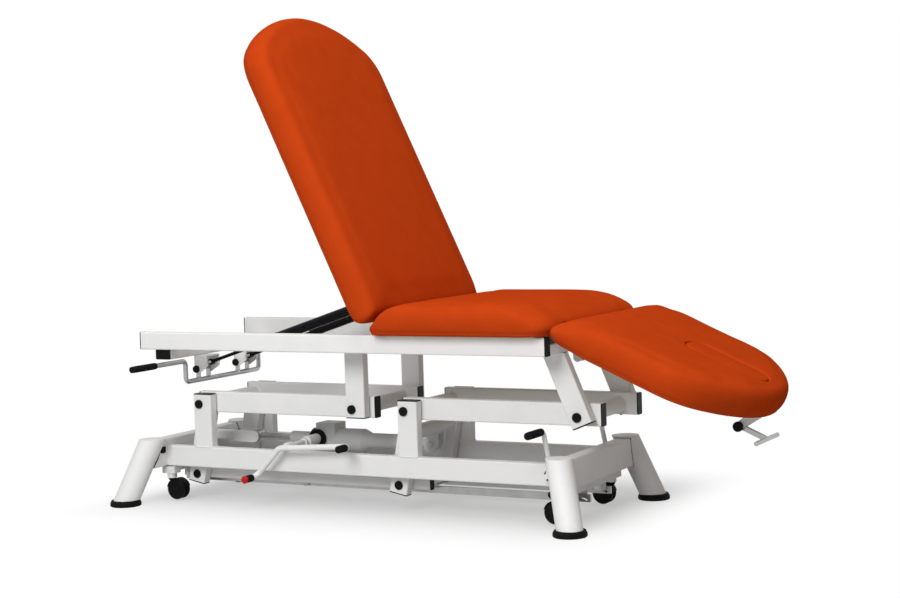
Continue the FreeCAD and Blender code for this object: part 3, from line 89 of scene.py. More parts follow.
class ExamFinish(bpy.types.PropertyGroup):
    """Colours and surface of each finish"""
    vinyl: tint("Vinyl", "Upholstery colour", (0.475, 0.0485, 0.0062))
    vinyl_deep: tint("Vinyl Shade", "Upholstery colour in the pores", (0.435, 0.0435, 0.0055))
    paint: tint("Paint", "Powder coat of the frame", (0.80, 0.80, 0.79))
    paint_dull: tint("Paint Dull", "Powder coat where it is handled", (0.765, 0.765, 0.755))
    black: tint("Black Plastic", "Tube plugs, caps and grips", (0.004, 0.004, 0.0043))
    steel: tint("Steel", "Satin steel rods and levers", (0.43, 0.43, 0.43))
    actuator: tint("Actuator", "Grey housing of the lift actuator", (0.64, 0.65, 0.64))
    red: tint("Red Tip", "Tip of the brake end of the rocker pedal", (0.50, 0.012, 0.014))
    grain_size: distance("Grain Size", "Size of one pore of the vinyl", 0.0013)


class ExamCushions(bpy.types.PropertyGroup):
    """Shape of the upholstered sections"""
    voxel: distance("Voxel", "Mesh size of the cover before it is filled", 0.006)
    inset: distance("Inset", "How much smaller the cover starts", 0.0025)
    travel: distance("Travel", "How far the filling may push the cover", 0.006)
    pressure: FloatProperty(
        name="Pressure", description="Pressure of the foam under the cover", default=4.0)
    frames: IntProperty(
        name="Frames", description="Steps in which the cover fills", default=20)
    evening: IntProperty(
        name="Evening", description="How often the foam evens out the cover's folds", default=14)
    corner_power: FloatProperty(
        name="Corner Power", description="How square the foam draws the corners of the cover",
        default=9.0)
    leg_corner: distance("Foot Corner", "Reach of the foot cushion's corners beside the seat", 0.014)
    leg_corner_drop: FloatProperty(
        name="Foot Corner Drop", description="Share of its height that such a corner loses",
        subtype="FACTOR", default=0.30)
    seat_lip: distance("Seat Lip", "Reach of the seat's lower edge under the backrest", 0.014)
    seam_height: distance("Seam Height", "Height of the seam above the underside", 0.009)
    seam_depth: distance("Seam Depth", "Depth of the groove at the seam", 0.0022)
    seam_width: distance("Seam Width", "Width of the groove at the seam", 0.0045)
    stitch_pitch: distance("Stitch Pitch", "Distance from stitch to stitch", 0.0055)


class ExamParts(bpy.types.PropertyGroup):
    """Sizes of the small parts"""
    grip_d: distance("Grip", "Width of the rubber grips of the pedals", 0.020)
    rib_pitch: distance("Rib Pitch", "Distance from rib to rib on a grip", 0.0055)
    knob_d: distance("Knob", "Width of the knobs of the release lever", 0.027)
    wheel_r: distance("Wheel Radius", "Radius of the caster wheels", 0.030)
    plug_w: distance("Plug Width", "Width of a blanking plug", 0.024)
    plug_h: distance("Plug Height", "Height of a blanking plug", 0.019)
    post_w: distance("Post Length", "Length of a post's section", 0.060)
    post_t: distance("Post Width", "Width of a post's section", 0.030)
    post_shift: distance("Post Shift", "From a pivot pin to the middle of its post", 0.010)
    cross_tube_d: distance("Cross Tube", "Width of the round tubes of the cranks", 0.042)
    weld_pitch: distance("Weld Pitch", "Distance from ripple to ripple", 0.0026)
    weld_w: distance("Weld Width", "Width of a weld bead", 0.0042)
    screw_r: distance("Screw Radius", "Radius of a screw head", 0.0045)
    board_clear: distance("Board Gap", "Gap between the rails and a level section board", 0.001)
    section_tube_h: distance("Section Tube Height", "Height of the tubes under the sections", 0.015)
    spring_y: distance("Spring Place", "From the middle to a gas spring of the backrest", 0.100)
    bracket_half_w: distance(
        "Bracket Half Width", "From a gas spring to its bracket's outer face", 0.032)
    section_tube_y: distance(
        "Section Tube Place", "From the middle to the tubes under the sections", 0.223)


class ExamStage(bpy.types.PropertyGroup):
    """Camera, floor and light"""
    eye: FloatVectorProperty(
        name="Eye", description="Place of the camera", subtype="TRANSLATION", unit="LENGTH",
        default=(2.39744, -4.45606, 0.90411))
    yaw: rotation("Yaw", "Turn of the view from the table's width axis", 28.13)
    pitch: rotation("Pitch", "Downward tilt of the view", 3.64)
    roll: rotation("Roll", "Roll of the camera", -1.79)
    lens: FloatProperty(
        name="Lens", description="Focal length in millimetres", default=72.88)
    world_level: FloatProperty(
        name="World Level", description="Strength of the light from all around", default=0.27)
    key_power: lamp_power("Key Power", "Power of the lamp at the front", 158.0)
    top_power: lamp_power("Top Power", "Power of the overhead lamp", 90.0)


def given(thing, **values):
    """A node, a modifier or its settings, with these values set."""
    for key, value in values.items():
        setattr(thing, key, value)
    return thing


class Nodes:
    """A node tree that is filled node by node."""

    def __init__(self, tree):
        self.tree = tree
        tree.nodes.clear()

    def add(self, kind, inputs=None, **values):
        node = given(self.tree.nodes.new(kind), **values)
        for key, value in (inputs or {}).items():
            node.inputs[key].default_value = value
        return node

    def join(self, source, out_name, target, in_name):
        self.tree.links.new(source.outputs[out_name], target.inputs[in_name])


class Shader(Nodes):
    """A new material with one surface, patterned on the object's own coordinates."""

    def __init__(self, name, levels=None):
        self.material = bpy.data.materials.new(name)
        self.material.use_nodes = True
        super().__init__(self.material.node_tree)
        output = self.add("ShaderNodeOutputMaterial")
        self.surface = self.add("ShaderNodeBsdfPrincipled", levels)
        self.join(self.surface, "BSDF", output, "Surface")
        self.place = self.add("ShaderNodeTexCoord")

    def stretched(self, scale):
        """Object coordinates, scaled unevenly along the three axes."""
        mapping = self.add("ShaderNodeMapping", {"Scale": scale})
        self.join(self.place, "Object", mapping, "Vector")
        return mapping

    def texture(self, kind, inputs, source=None, **values):
        """A texture on the object's coordinates, or on a mapping of them."""
        node = self.add(kind, inputs, **values)
        if source is None:
            self.join(self.place, "Object", node, "Vector")
        else:
            self.join(source, "Vector", node, "Vector")
        return node

    def speckle(self, scale, detail=3.0, rough=0.5, source=None):
        sizes = {"Scale": scale, "Detail": detail, "Roughness": rough}
        return self.texture("ShaderNodeTexNoise", sizes, source)

    def two_colours(self, source, low, high, start=0.3, end=0.7):
        ramp = self.add("ShaderNodeValToRGB")
        stops = ((start, low), (end, high))
        for element, (position, colour) in zip(ramp.color_ramp.elements, stops):
            element.position = position
            element.color = (*colour, 1.0)
        self.join(source, "Fac", ramp, "Fac")
        self.join(ramp, "Color", self.surface, "Base Color")

    def roughness(self, source, low, high):
        span = self.add("ShaderNodeMapRange", {
            "From Min": 0.3, "From Max": 0.7, "To Min": low, "To Max": high})
        self.join(source, "Fac", span, "Value")
        self.join(span, "Result", self.surface, "Roughness")

    def bumps(self, *layers):
        """Bump layers of (node, output, strength, depth), the coarse one first."""
        last = None
        for source, out_name, strength, depth in layers:
            bump = self.add("ShaderNodeBump", {"Strength": strength, "Distance": depth})
            self.join(source, out_name, bump, "Height")
            if last is not None:
                self.join(last, "Normal", bump, "Normal")
            last = bump
        self.join(last, "Normal", self.surface, "Normal")


def vinyl_finish(finish):
    """Coated upholstery: fine pores, soft mottling, slight waves under the cover."""
    shader = Shader("exam_vinyl", {"Specular IOR Level": 0.0})
    mottle = shader.speckle(16.0, 5.0, 0.6)
    pores = shader.texture(
        "ShaderNodeTexVoronoi", {"Scale": 1.0 / finish.grain_size}, feature="F1")
    waves = shader.speckle(7.0, 2.0, 0.4)
    shader.two_colours(mottle, finish.vinyl_deep, finish.vinyl)
    shader.roughness(mottle, 0.72, 0.84)
    shader.bumps((waves, "Fac", 0.25, 0.004), (pores, "Distance", 0.22, 0.0004))
    return shader.material


def thread_finish(finish):
    """Sewing thread in the colour of the cover, with its twist; the grooves of the twist are darkened as painted
    shade.
    """
    shader = Shader("exam_thread", {"Roughness": 0.7})
    twist_and_painted_shade = shader.texture("ShaderNodeTexWave", {"Scale": 900.0}, bands_direction="DIAGONAL")
    # painted shade: the thread is darker in the grooves of its twist, where the bump is low
    shader.two_colours(twist_and_painted_shade, [0.55 * c for c in finish.vinyl_deep], finish.vinyl_deep)
    shader.bumps((twist_and_painted_shade, "Fac", 0.3, 0.0002))
    return shader.material


def paint_finish(finish):
    """White powder coat: orange peel, a little dulling where it is handled."""
    shader = Shader("exam_white_paint", {"Specular IOR Level": 0.22})
    peel = shader.speckle(520.0, 2.0, 0.5)
    handled = shader.speckle(9.0, 4.0, 0.6)
    shader.two_colours(handled, finish.paint_dull, finish.paint, 0.28, 0.5)
    shader.roughness(handled, 0.52, 0.42)
    shader.bumps((peel, "Fac", 0.10, 0.0005))
    return shader.material


def plastic_finish(name, colour, rough, grain):
    """Moulded plastic with a fine eroded texture and scuffed patches."""
    shader = Shader(name, {"Specular IOR Level": 0.08})
    texture = shader.speckle(grain, 3.0, 0.6)
    scuff = shader.speckle(45.0, 4.0, 0.65)
    shader.two_colours(scuff, colour, [min(1.6 * c, c + 0.03) for c in colour], 0.45, 0.8)
    shader.roughness(scuff, rough, rough + 0.14)
    shader.bumps((texture, "Fac", 0.18, 0.0004))
    return shader.material


def rubber_finish():
    """Black rubber: dusty in patches, finely pitted."""
    shader = Shader("exam_rubber", {"Specular IOR Level": 0.08})
    pits = shader.speckle(700.0, 2.0, 0.5)
    dust = shader.speckle(30.0, 5.0, 0.7)
    shader.two_colours(dust, (0.004, 0.004, 0.004), (0.011, 0.0107, 0.0103), 0.4, 0.8)
    shader.roughness(dust, 0.62, 0.85)
    shader.bumps((pits, "Fac", 0.25, 0.0005))
    return shader.material


def steel_finish(name, colour, rough, scale):
    """Drawn steel: fine streaks along the metal and faint cloudy tarnish."""
    shader = Shader(name, {"Metallic": 1.0})
    streaks = shader.speckle(1.0, 2.0, 0.5, shader.stretched(scale))
    clouds = shader.speckle(24.0, 4.0, 0.6)
    shader.two_colours(clouds, [0.82 * c for c in colour], colour)
    shader.roughness(streaks, rough - 0.05, rough + 0.08)
    shader.bumps((streaks, "Fac", 0.06, 0.0003))
    return shader.material


def plywood_finish():
    """Sealed plywood of the section boards, faint grain along the table."""
    shader = Shader("exam_plywood")
    sizes = {"Scale": 5.0, "Distortion": 5.0, "Detail": 4.0, "Detail Scale": 1.2}
    rings = shader.texture("ShaderNodeTexWave", sizes, shader.stretched((0.3, 4.0, 0.3)),
                           wave_type="BANDS", bands_direction="Y")
    fibre = shader.speckle(1.0, 3.0, 0.6, shader.stretched((24.0, 420.0, 24.0)))
    shader.two_colours(rings, (0.52, 0.37, 0.21), (0.58, 0.42, 0.25), 0.1, 0.9)
    shader.roughness(fibre, 0.5, 0.66)
    shader.bumps((fibre, "Fac", 0.2, 0.0005))
    return shader.material


def all_finishes(finish):
    """The material of every slot of the record, by slot name."""
    return {
        "vinyl": vinyl_finish(finish),
        "white_paint": paint_finish(finish),
        "black_plastic": plastic_finish("exam_black_plastic", finish.black, 0.36, 600.0),
        "caster_black": plastic_finish("exam_caster_black", finish.black, 0.42, 450.0),
        "spring_black": plastic_finish("exam_spring_black", finish.black, 0.22, 900.0),
        "actuator_grey": plastic_finish("exam_actuator_grey", finish.actuator, 0.40, 500.0),
        "rubber": rubber_finish(),
        "satin_steel": steel_finish("exam_satin_steel", finish.steel, 0.33, (40.0, 900.0, 900.0)),
        "plywood": plywood_finish(),
    }


def finish_of(node):
    """The material that a solid of the frame has been given."""
    return frame["nodes"][node].data.materials[0]


def linked(obj):
    bpy.context.scene.collection.objects.link(obj)
    return obj


def baked(obj):
    """The object's mesh with its modifiers applied, as a plain mesh."""
    graph = bpy.context.evaluated_depsgraph_get()
    return bpy.data.meshes.new_from_object(obj.evaluated_get(graph), depsgraph=graph)


def modified(mesh, kind, **values):
    """A copy of the mesh with one modifier applied."""
    obj = linked(bpy.data.objects.new("working", mesh))
    given(obj.modifiers.new("working", kind), **values)
    result = baked(obj)
    bpy.data.objects.remove(obj)
    return result


def smooth_shaded(mesh):
    mesh.polygons.foreach_set("use_smooth", [True] * len(mesh.polygons))
    mesh.update()
    return mesh


def joint(name):
    return next(entry for entry in frame["joints"] if entry["name"] == name)


def pivot(name):
    return Vector(joint(name)["pos_m"])


def motor_face():
    """The middle of the front face of the actuator's motor."""
    low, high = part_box("actuator_motor")
    return Vector((low[0], (low[1] + high[1]) / 2, pivot("actuator_tilt").z))


def laid_flat(name):
    """Matrix that turns a tilting section about its hinge until it lies flat."""
    hinge = joint(name)
    place = Matrix.Translation(hinge["pos_m"])
    turn = Matrix.Rotation(math.radians(hinge["range_deg"][0]), 4, Vector(hinge["axis"]))
    return place @ turn @ place.inverted()


def smoothstep(value):
    value = min(max(value, 0.0), 1.0)
    return value * value * (3.0 - 2.0 * value)


def merged(mesh):
    """Joins the loose triangles of a solid's mesh."""
    shape = bmesh.new()
    shape.from_mesh(mesh)
    bmesh.ops.remove_doubles(shape, verts=shape.verts, dist=1e-6)
    shape.to_mesh(mesh)
    shape.free()
    return mesh


def fill_corners(mesh, end_x, way, corner, power):
    """Draws the round corners at one end of a cover out towards square ones."""
    half_w = max(abs(v.co.y) for v in mesh.vertices)
    for v in mesh.vertices:
        u = 1.0 - way * (v.co.x - end_x) / corner
        w = 1.0 - (half_w - abs(v.co.y)) / corner
        if u <= 0.0 or w <= 0.0:
            continue
        a = math.atan2(w, u)
        grow = (math.cos(a) ** power + math.sin(a) ** power) ** (-1.0 / power)
        v.co.x = end_x + way * corner * (1.0 - u * grow)
        v.co.y = math.copysign(half_w - corner * (1.0 - w * grow), v.co.y)
    mesh.update()


def drop_leg_corners(mesh, settings, low_x, floor_z):
    """Draws the foot cushion's corners out beside the seat and lowers them."""
    end_run = 0.10
    side_start = 0.25
    reach_run = 0.06
    drop_run = 0.08
    for v in mesh.vertices:
        end = smoothstep(1.0 - (v.co.x - low_x) / end_run)
        v.co.x -= settings.leg_corner * end * smoothstep((abs(v.co.y) - side_start) / reach_run)
        side = smoothstep((abs(v.co.y) - side_start) / drop_run)
        v.co.z -= settings.leg_corner_drop * end * side * (v.co.z - floor_z)


def draw_seat_lip(mesh, settings, low_x, floor_z):
    """Draws the seat's lower edge out under the backrest."""
    end_run = 0.12
    lip_start = 0.016
    lip_run = 0.024
    edge_height = 0.014
    edge_share = 0.8
    for v in mesh.vertices:
        end = smoothstep(1.0 - (v.co.x - low_x) / end_run)
        height = v.co.z - floor_z
        lip = 1.0 - smoothstep((height - lip_start) / lip_run)
        edge = 1.0 - smoothstep(height / edge_height)
        v.co.x -= settings.seat_lip * end * (lip + edge_share * edge)


def fitted_cover(mesh, node, settings, floor_z):
    """Shapes the ends of a cover where two cushions meet."""
    back_corner = 0.040
    wide_corner = 0.080
    seat_power = 2.4
    low_x = min(v.co.x for v in mesh.vertices)
    high_x = max(v.co.x for v in mesh.vertices)
    if node == "back_pad":
        fill_corners(mesh, high_x, -1.0, back_corner, settings.corner_power)
    if node == "leg_pad":
        fill_corners(mesh, low_x, 1.0, wide_corner, settings.corner_power)
        drop_leg_corners(mesh, settings, low_x, floor_z)
    if node == "seat_pad":
        fill_corners(mesh, high_x, -1.0, wide_corner, seat_power)
        draw_seat_lip(mesh, settings, low_x, floor_z)
    mesh.update()


def away_from_plug(point, low, high):
    """Distance, seen from above, between a point and the outline of the plug."""
    radius = (high.y - low.y) / 2.0
    run = (high.x - low.x) / 2.0 - radius
    along = max(abs(point.x - (low.x + high.x) / 2.0) - run, 0.0)
    return abs(math.hypot(along, point.y) - radius)


def filled_cover(mesh, settings, floor_z, plug):
    """The cover after its foam has pushed it out, held by the board and round the plug."""
    hold_height = 0.012
    plug_hold = 0.03
    held_below = 0.35
    normals = [Vector(v.normal) for v in mesh.vertices]
    free = [smoothstep((v.co.z - floor_z) / hold_height) for v in mesh.vertices]
    if plug:
        for v in mesh.vertices:
            free[v.index] *= smoothstep(away_from_plug(v.co, *plug) / plug_hold)
    for v, normal in zip(mesh.vertices, normals):
        v.co -= normal * (settings.inset * free[v.index])
    mesh.update()
    start = [v.co.copy() for v in mesh.vertices]
    obj = linked(bpy.data.objects.new("cover", mesh))
    held = obj.vertex_groups.new(name="held")
    held.add([i for i, share in enumerate(free) if share < held_below], 1.0, "REPLACE")
    cloth = obj.modifiers.new("filling", "CLOTH")
    given(cloth.settings, quality=4, mass=0.3, tension_stiffness=20.0, compression_stiffness=20.0,
          bending_stiffness=2.0, use_pressure=True, uniform_pressure_force=settings.pressure,
          vertex_group_mass="held")
    cloth.settings.effector_weights.gravity = 0.0
    cloth.collision_settings.use_collision = False
    given(cloth.point_cache, frame_start=1, frame_end=settings.frames)
    for step in range(1, settings.frames + 1):
        bpy.context.scene.frame_set(step)
    result = baked(obj)
    bpy.data.objects.remove(obj)
    bpy.context.scene.frame_set(1)
    moves = np.array([v.co - old for v, old in zip(result.vertices, start)])
    facing = np.array(normals)
    along = np.sum(moves * facing, axis=1, keepdims=True)
    moves -= facing * np.minimum(along, 0.0)
    size = np.maximum(np.linalg.norm(moves, axis=1, keepdims=True), 1e-9)
    moves *= np.minimum(1.0, settings.travel / size)
    moves = evened(result, moves, settings.evening)
    for v, old, move in zip(result.vertices, start, moves):
        v.co = old + Vector(move)
    result.update()
    return result


def evened(mesh, values, rounds):
    """Spreads the values of the vertices along the edges, round after round."""
    ends = np.array([edge.vertices[:] for edge in mesh.edges])
    count = np.bincount(ends.ravel(), minlength=len(values))[:, None]
    for _ in range(rounds):
        total = np.zeros_like(values)
        np.add.at(total, ends[:, 0], values[ends[:, 1]])
        np.add.at(total, ends[:, 1], values[ends[:, 0]])
        values = 0.5 * values + 0.5 * total / np.maximum(count, 1)
    return values


def relaxed(mesh, rounds):
    """Evens out the steps that the voxels leave."""
    shape = bmesh.new()
    shape.from_mesh(mesh)
    for _ in range(rounds):
        bmesh.ops.smooth_vert(shape, verts=shape.verts, factor=0.5, use_axis_x=True,
                              use_axis_y=True, use_axis_z=True)
    shape.to_mesh(mesh)
    shape.free()
    mesh.update()
    return mesh


def sewn(mesh, settings, floor_z):
    """Draws the cover in along its seam, with the small puckers that stitching leaves."""
    pucker_reach = 6.0
    pucker_scale = 26.0
    pucker_depth = 0.0012
    normals = [Vector(v.normal) for v in mesh.vertices]
    for v, normal in zip(mesh.vertices, normals):
        height = v.co.z - floor_z - settings.seam_height
        groove = math.exp(-(height / settings.seam_width) ** 2)
        pucker = math.exp(-(height / (pucker_reach * settings.seam_width)) ** 2)
        wave = noise.noise(v.co * pucker_scale) * pucker_depth
        side = Vector((normal.x, normal.y, 0.0))
        v.co -= side * (settings.seam_depth * groove + wave * pucker)
    mesh.update()
    return mesh


def seam_loop(mesh, height):
    """The outermost closed line in which a level plane cuts the cover."""
    shape = bmesh.new()
    shape.from_mesh(mesh)
    cut = bmesh.ops.bisect_plane(
        shape, geom=shape.verts[:] + shape.edges[:] + shape.faces[:], dist=1e-6,
        plane_co=(0.0, 0.0, height), plane_no=(0.0, 0.0, 1.0))["geom_cut"]
    beside = {}
    for edge in cut:
        if isinstance(edge, bmesh.types.BMEdge):
            for a, b in (edge.verts, reversed(edge.verts)):
                beside.setdefault(a, []).append(b)
    loops = []
    unused = dict.fromkeys(beside)
    while unused:
        loop = [unused.popitem()[0]]
        while True:
            ahead = [v for v in beside[loop[-1]] if v in unused]
            if not ahead:
                break
            del unused[ahead[0]]
            loop.append(ahead[0])
        loops.append([v.co.copy() for v in loop])
    shape.free()

    def reach(loop):
        xs = [p.x for p in loop]
        ys = [p.y for p in loop]
        return (max(xs) - min(xs)) + (max(ys) - min(ys))

    return max(loops, key=reach)


def paths(name, lines, closed=True):
    """An object of edges only, with one line after the other."""
    points = []
    edges = []
    for line in lines:
        first = len(points)
        count = len(line)
        points.extend(line)
        last = count if closed else count - 1
        edges.extend((first + i, first + (i + 1) % count) for i in range(last))
    mesh = bpy.data.meshes.new(name)
    mesh.from_pydata(points, edges, [])
    return linked(bpy.data.objects.new(name, mesh))


def circle_line(centre, axis, radius, count=48):
    side = axis.orthogonal().normalized()
    up = axis.cross(side).normalized()
    turns = [2.0 * math.pi * i / count for i in range(count)]
    return [centre + radius * (math.cos(a) * side + math.sin(a) * up) for a in turns]


def tube_foot_line(centre, length, width, corner=0.004):
    """Level outline of a square tube with rounded corners."""
    points = []
    for sx, sy, start in ((1, 1, 0.0), (-1, 1, 90.0), (-1, -1, 180.0), (1, -1, 270.0)):
        middle = centre + Vector((sx * (length / 2 - corner), sy * (width / 2 - corner), 0.0))
        for step in range(4):
            a = math.radians(start + 30.0 * step)
            points.append(middle + corner * Vector((math.cos(a), math.sin(a), 0.0)))
    return points


def add_skin(shape, lines, solid=True):
    """Adds faces from line to line; the ends are closed, or the last line joins the first."""
    rings = [[shape.verts.new(point) for point in line] for line in lines]
    pairs = list(zip(rings, rings[1:]))
    if not solid:
        pairs.append((rings[-1], rings[0]))
    for low, high in pairs:
        for i in range(len(low)):
            k = (i + 1) % len(low)
            shape.faces.new((low[i], low[k], high[k], high[i]))
    if solid:
        shape.faces.new(list(reversed(rings[0])))
        shape.faces.new(rings[-1])


def add_turned(shape, centre, axis, profile, solid=True, steps=36):
    """Adds a turned body; the profile gives (way along the axis, radius)."""
    axis = Vector(axis).normalized()
    add_skin(shape, [circle_line(centre + along * axis, axis, radius, steps)
                     for along, radius in profile], solid)


def add_caps(shape, centre, half_width, profile, radius):
    """Adds a turned cap on each side of a centre; the profile gives shares of the radius."""
    for side in BOTH_SIDES:
        add_turned(shape, centre + Vector((0.0, side * half_width, 0.0)), (0.0, side, 0.0),
                   [(along, share * radius) for along, share in profile])


def add_arched_shell(shape, centre, inner, outer, half_width, start, end, steps=20):
    """Adds a fender: a thin shell bent round the width axis between two angles."""
    edges = ((inner, -1), (inner, 1), (outer, 0.86), (outer, -0.86))
    lines = []
    for i in range(steps + 1):
        a = math.radians(start + (end - start) * i / steps)
        way = Vector((math.cos(a), 0.0, math.sin(a)))
        lines.append([centre + r * way + Vector((0.0, y * half_width, 0.0)) for r, y in edges])
    add_skin(shape, lines)


def made(name, shape):
    """The mesh of a shape, which is used up."""
    mesh = bpy.data.meshes.new(name)
    shape.to_mesh(mesh)
    shape.free()
    return mesh


def finished(name, shape, material, body):
    """Makes the piece from its shape and fixes it to its body."""
    bmesh.ops.recalc_face_normals(shape, faces=shape.faces[:])
    mesh = smooth_shaded(made(name, shape))
    mesh.set_sharp_from_angle(angle=math.radians(35.0))
    return fixed(name, mesh, material, body)


def fixed(name, mesh, material, body):
    mesh.materials.clear()
    mesh.materials.append(material)
    obj = linked(bpy.data.objects.new(name, mesh))
    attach(obj, body)
    return obj


def rounded_bar(name, length, width, height):
    """A small bar along X with rounded edges, as one stitch or weld ripple."""
    shape = bmesh.new()
    bmesh.ops.create_cube(shape, size=1.0)
    bmesh.ops.scale(shape, vec=(length, width, height), verts=shape.verts)
    bmesh.ops.bevel(shape, geom=shape.edges[:], offset=0.32 * min(width, height), segments=1,
                    affect="EDGES")
    return bpy.data.objects.new(name, smooth_shaded(made(name, shape)))


def grip_ring(name, radius):
    """One rib of a grip, round the X axis."""
    profile = ((-0.0011, -0.0004), (-0.0005, 0.0006), (0.0005, 0.0006), (0.0011, -0.0004))
    shape = bmesh.new()
    add_turned(shape, Vector(), Vector((1.0, 0.0, 0.0)),
               [(along, radius + rise) for along, rise in profile], solid=False, steps=24)
    bmesh.ops.recalc_face_normals(shape, faces=shape.faces[:])
    return bpy.data.objects.new(name, smooth_shaded(made(name, shape)))


def screw_head(name, radius):
    """Low round head with a six-sided socket, standing on the XY plane."""
    steps = 12
    levels = ((0.0, 1.0, False), (0.28, 1.0, False), (0.52, 0.78, False), (0.58, 0.52, True),
              (0.18, 0.50, True))
    lines = []
    for height, share, hexed in levels:
        line = []
        for i in range(steps):
            a = 2.0 * math.pi * i / steps
            flat = math.cos(math.pi / 6.0) if hexed and i % 2 else 1.0
            r = radius * share * flat
            line.append((r * math.cos(a), r * math.sin(a), radius * height))
        lines.append(line)
    shape = bmesh.new()
    add_skin(shape, lines)
    return bpy.data.objects.new(name, made(name, shape))


class Copies(Nodes):
    """Geometry nodes: copies of one piece on points, turned one way and given a finish."""

    def __init__(self, label, axis, size_name, size):
        super().__init__(bpy.data.node_groups.new(label, "GeometryNodeTree"))
        self.sizes = {size_name: size}
        sockets = (("Places", "NodeSocketGeometry"), ("Piece", "NodeSocketObject"),
                   (size_name, "NodeSocketFloat"), ("Finish", "NodeSocketMaterial"))
        face = self.tree.interface
        self.names = {
            name: face.new_socket(name=name, in_out="INPUT", socket_type=kind).identifier
            for name, kind in sockets}
        face.new_socket(name="Pieces", in_out="OUTPUT", socket_type="NodeSocketGeometry")
        self.start = self.add("NodeGroupInput")
        self.aim = self.add("FunctionNodeAlignRotationToVector", axis=axis)
        self.points = self.add("GeometryNodeInstanceOnPoints")
        info = self.add("GeometryNodeObjectInfo")
        real = self.add("GeometryNodeRealizeInstances")
        colour = self.add("GeometryNodeSetMaterial")
        end = self.add("NodeGroupOutput")
        self.join(self.aim, "Rotation", self.points, "Rotation")
        self.join(self.start, "Piece", info, "Object")
        self.join(info, "Geometry", self.points, "Instance")
        self.join(self.points, "Instances", real, "Geometry")
        self.join(real, "Geometry", colour, "Geometry")
        self.join(self.start, "Finish", colour, "Material")
        self.join(colour, "Geometry", end, "Pieces")

    def used_on(self, obj, piece, finish):
        """The mesh that the tree makes of an object; the object and the piece are used up."""
        linked(piece)
        modifier = obj.modifiers.new("copies", "NODES")
        modifier.node_group = self.tree
        for name, value in {"Piece": piece, "Finish": finish, **self.sizes}.items():
            modifier[self.names[name]] = value
        mesh = baked(obj)
        bpy.data.objects.remove(obj)
        bpy.data.objects.remove(piece)
        return mesh


def heads_on(name, places, radius, finish):
    """The mesh of screw heads at (point, facing) places."""
    mesh = bpy.data.meshes.new(name)
    mesh.from_pydata([point for point, _ in places], [], [])
    ways = mesh.attributes.new("facing", "FLOAT_VECTOR", "POINT")
    ways.data.foreach_set("vector", [c for _, way in places for c in way])
    tree = Copies("Heads On Points", "Z", "Size", 1.0)
    facing = tree.add(
        "GeometryNodeInputNamedAttribute", {"Name": "facing"}, data_type="FLOAT_VECTOR")
    tree.join(tree.start, "Places", tree.points, "Points")
    tree.join(tree.start, "Size", tree.points, "Scale")
    tree.join(facing, "Attribute", tree.aim, "Vector")
    points = linked(bpy.data.objects.new(name, mesh))
    return tree.used_on(points, screw_head(name + "_head", radius), finish)


def run_along(path, piece, pitch, finish):
    """The mesh of pieces along every line of the path; the path and the piece are used up."""
    tree = Copies("Pieces Along Path", "X", "Pitch", pitch)
    curve = tree.add("GeometryNodeMeshToCurve")
    even = tree.add("GeometryNodeResampleCurve", mode="LENGTH")
    tangent = tree.add("GeometryNodeInputTangent")
    tree.join(tree.start, "Places", curve, "Mesh")
    tree.join(curve, "Curve", even, "Curve")
    tree.join(tree.start, "Pitch", even, "Length")
    tree.join(even, "Curve", tree.points, "Points")
    tree.join(tangent, "Tangent", tree.aim, "Vector")
    return smooth_shaded(tree.used_on(path, piece, finish))


class EXAM_OT_finishes(bpy.types.Operator):
    """Gives every solid of the frame its finish"""
    bl_idname = "exam.finishes"
    bl_label = "Finish the Frame"

    def execute(self, context):
        ready = all_finishes(context.scene.exam_finish)
        for name, obj in frame["nodes"].items():
            slot = "spring_black" if name == "back_spring_rods" else SLOT_OF[name]
            obj.data.materials.clear()
            obj.data.materials.append(ready[slot])
        return {"FINISHED"}


class EXAM_OT_cushions(bpy.types.Operator):
    """Replaces the soft solids by filled and sewn covers"""
    bl_idname = "exam.cushions"
    bl_label = "Make the Cushions"

    sections = (
        ("seat_pad", "seat_cushion", "top_frame", None, 0.85, 1.15),
        ("back_pad", "back_cushion", "backrest", "backrest_tilt", 0.85, 1.35),
        ("leg_pad", "leg_cushion", "leg_section", "leg_tilt", 0.85, 1.0),
        ("face_plug", "face_plug_cushion", "face_plug_body", "leg_tilt", 0.9, 0.6),
    )
    stitch = (0.0038, 0.0009, 0.0009)

    def execute(self, context):
        settings = context.scene.exam_cushions
        thread = thread_finish(context.scene.exam_finish)
        for node, name, body, hinge, fill, coarse in self.sections:
            flat = laid_flat(hinge) if hinge else Matrix.Identity(4)
            mesh = merged(frame["nodes"][node].data.copy())
            mesh.transform(flat)
            floor_z = min(v.co.z for v in mesh.vertices)
            mesh = modified(mesh, "REMESH", mode="VOXEL", voxel_size=coarse * settings.voxel)
            fitted_cover(mesh, node, settings, floor_z)
            plug = self.plug_outline(flat) if hinge == "leg_tilt" else None
            mesh = filled_cover(mesh, settings, floor_z, plug)
            mesh = relaxed(mesh, 2)
            mesh = modified(mesh, "SUBSURF", levels=1, render_levels=1)
            mesh = sewn(mesh, settings, floor_z)
            if node != "face_plug":
                line = seam_loop(mesh, floor_z + settings.seam_height)
                path = paths(name + "_seam", [line])
                bar = rounded_bar("stitch", *self.stitch)
                stitches = run_along(path, bar, settings.stitch_pitch, thread)
                stitches.transform(flat.inverted())
                fixed(name + "_stitches", stitches, thread, body)
            mesh.transform(flat.inverted())
            cushion = fixed(name, smooth_shaded(mesh), finish_of(node), body)
            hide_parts(node)
        return {"FINISHED"}

    def plug_outline(self, flat):
        """The two corners of the box round the plug, with the section laid flat."""
        points = [flat @ v.co for v in frame["nodes"]["face_plug"].data.vertices]
        low = Vector([min(p[k] for p in points) for k in range(3)])
        high = Vector([max(p[k] for p in points) for k in range(3)])
        return low, high


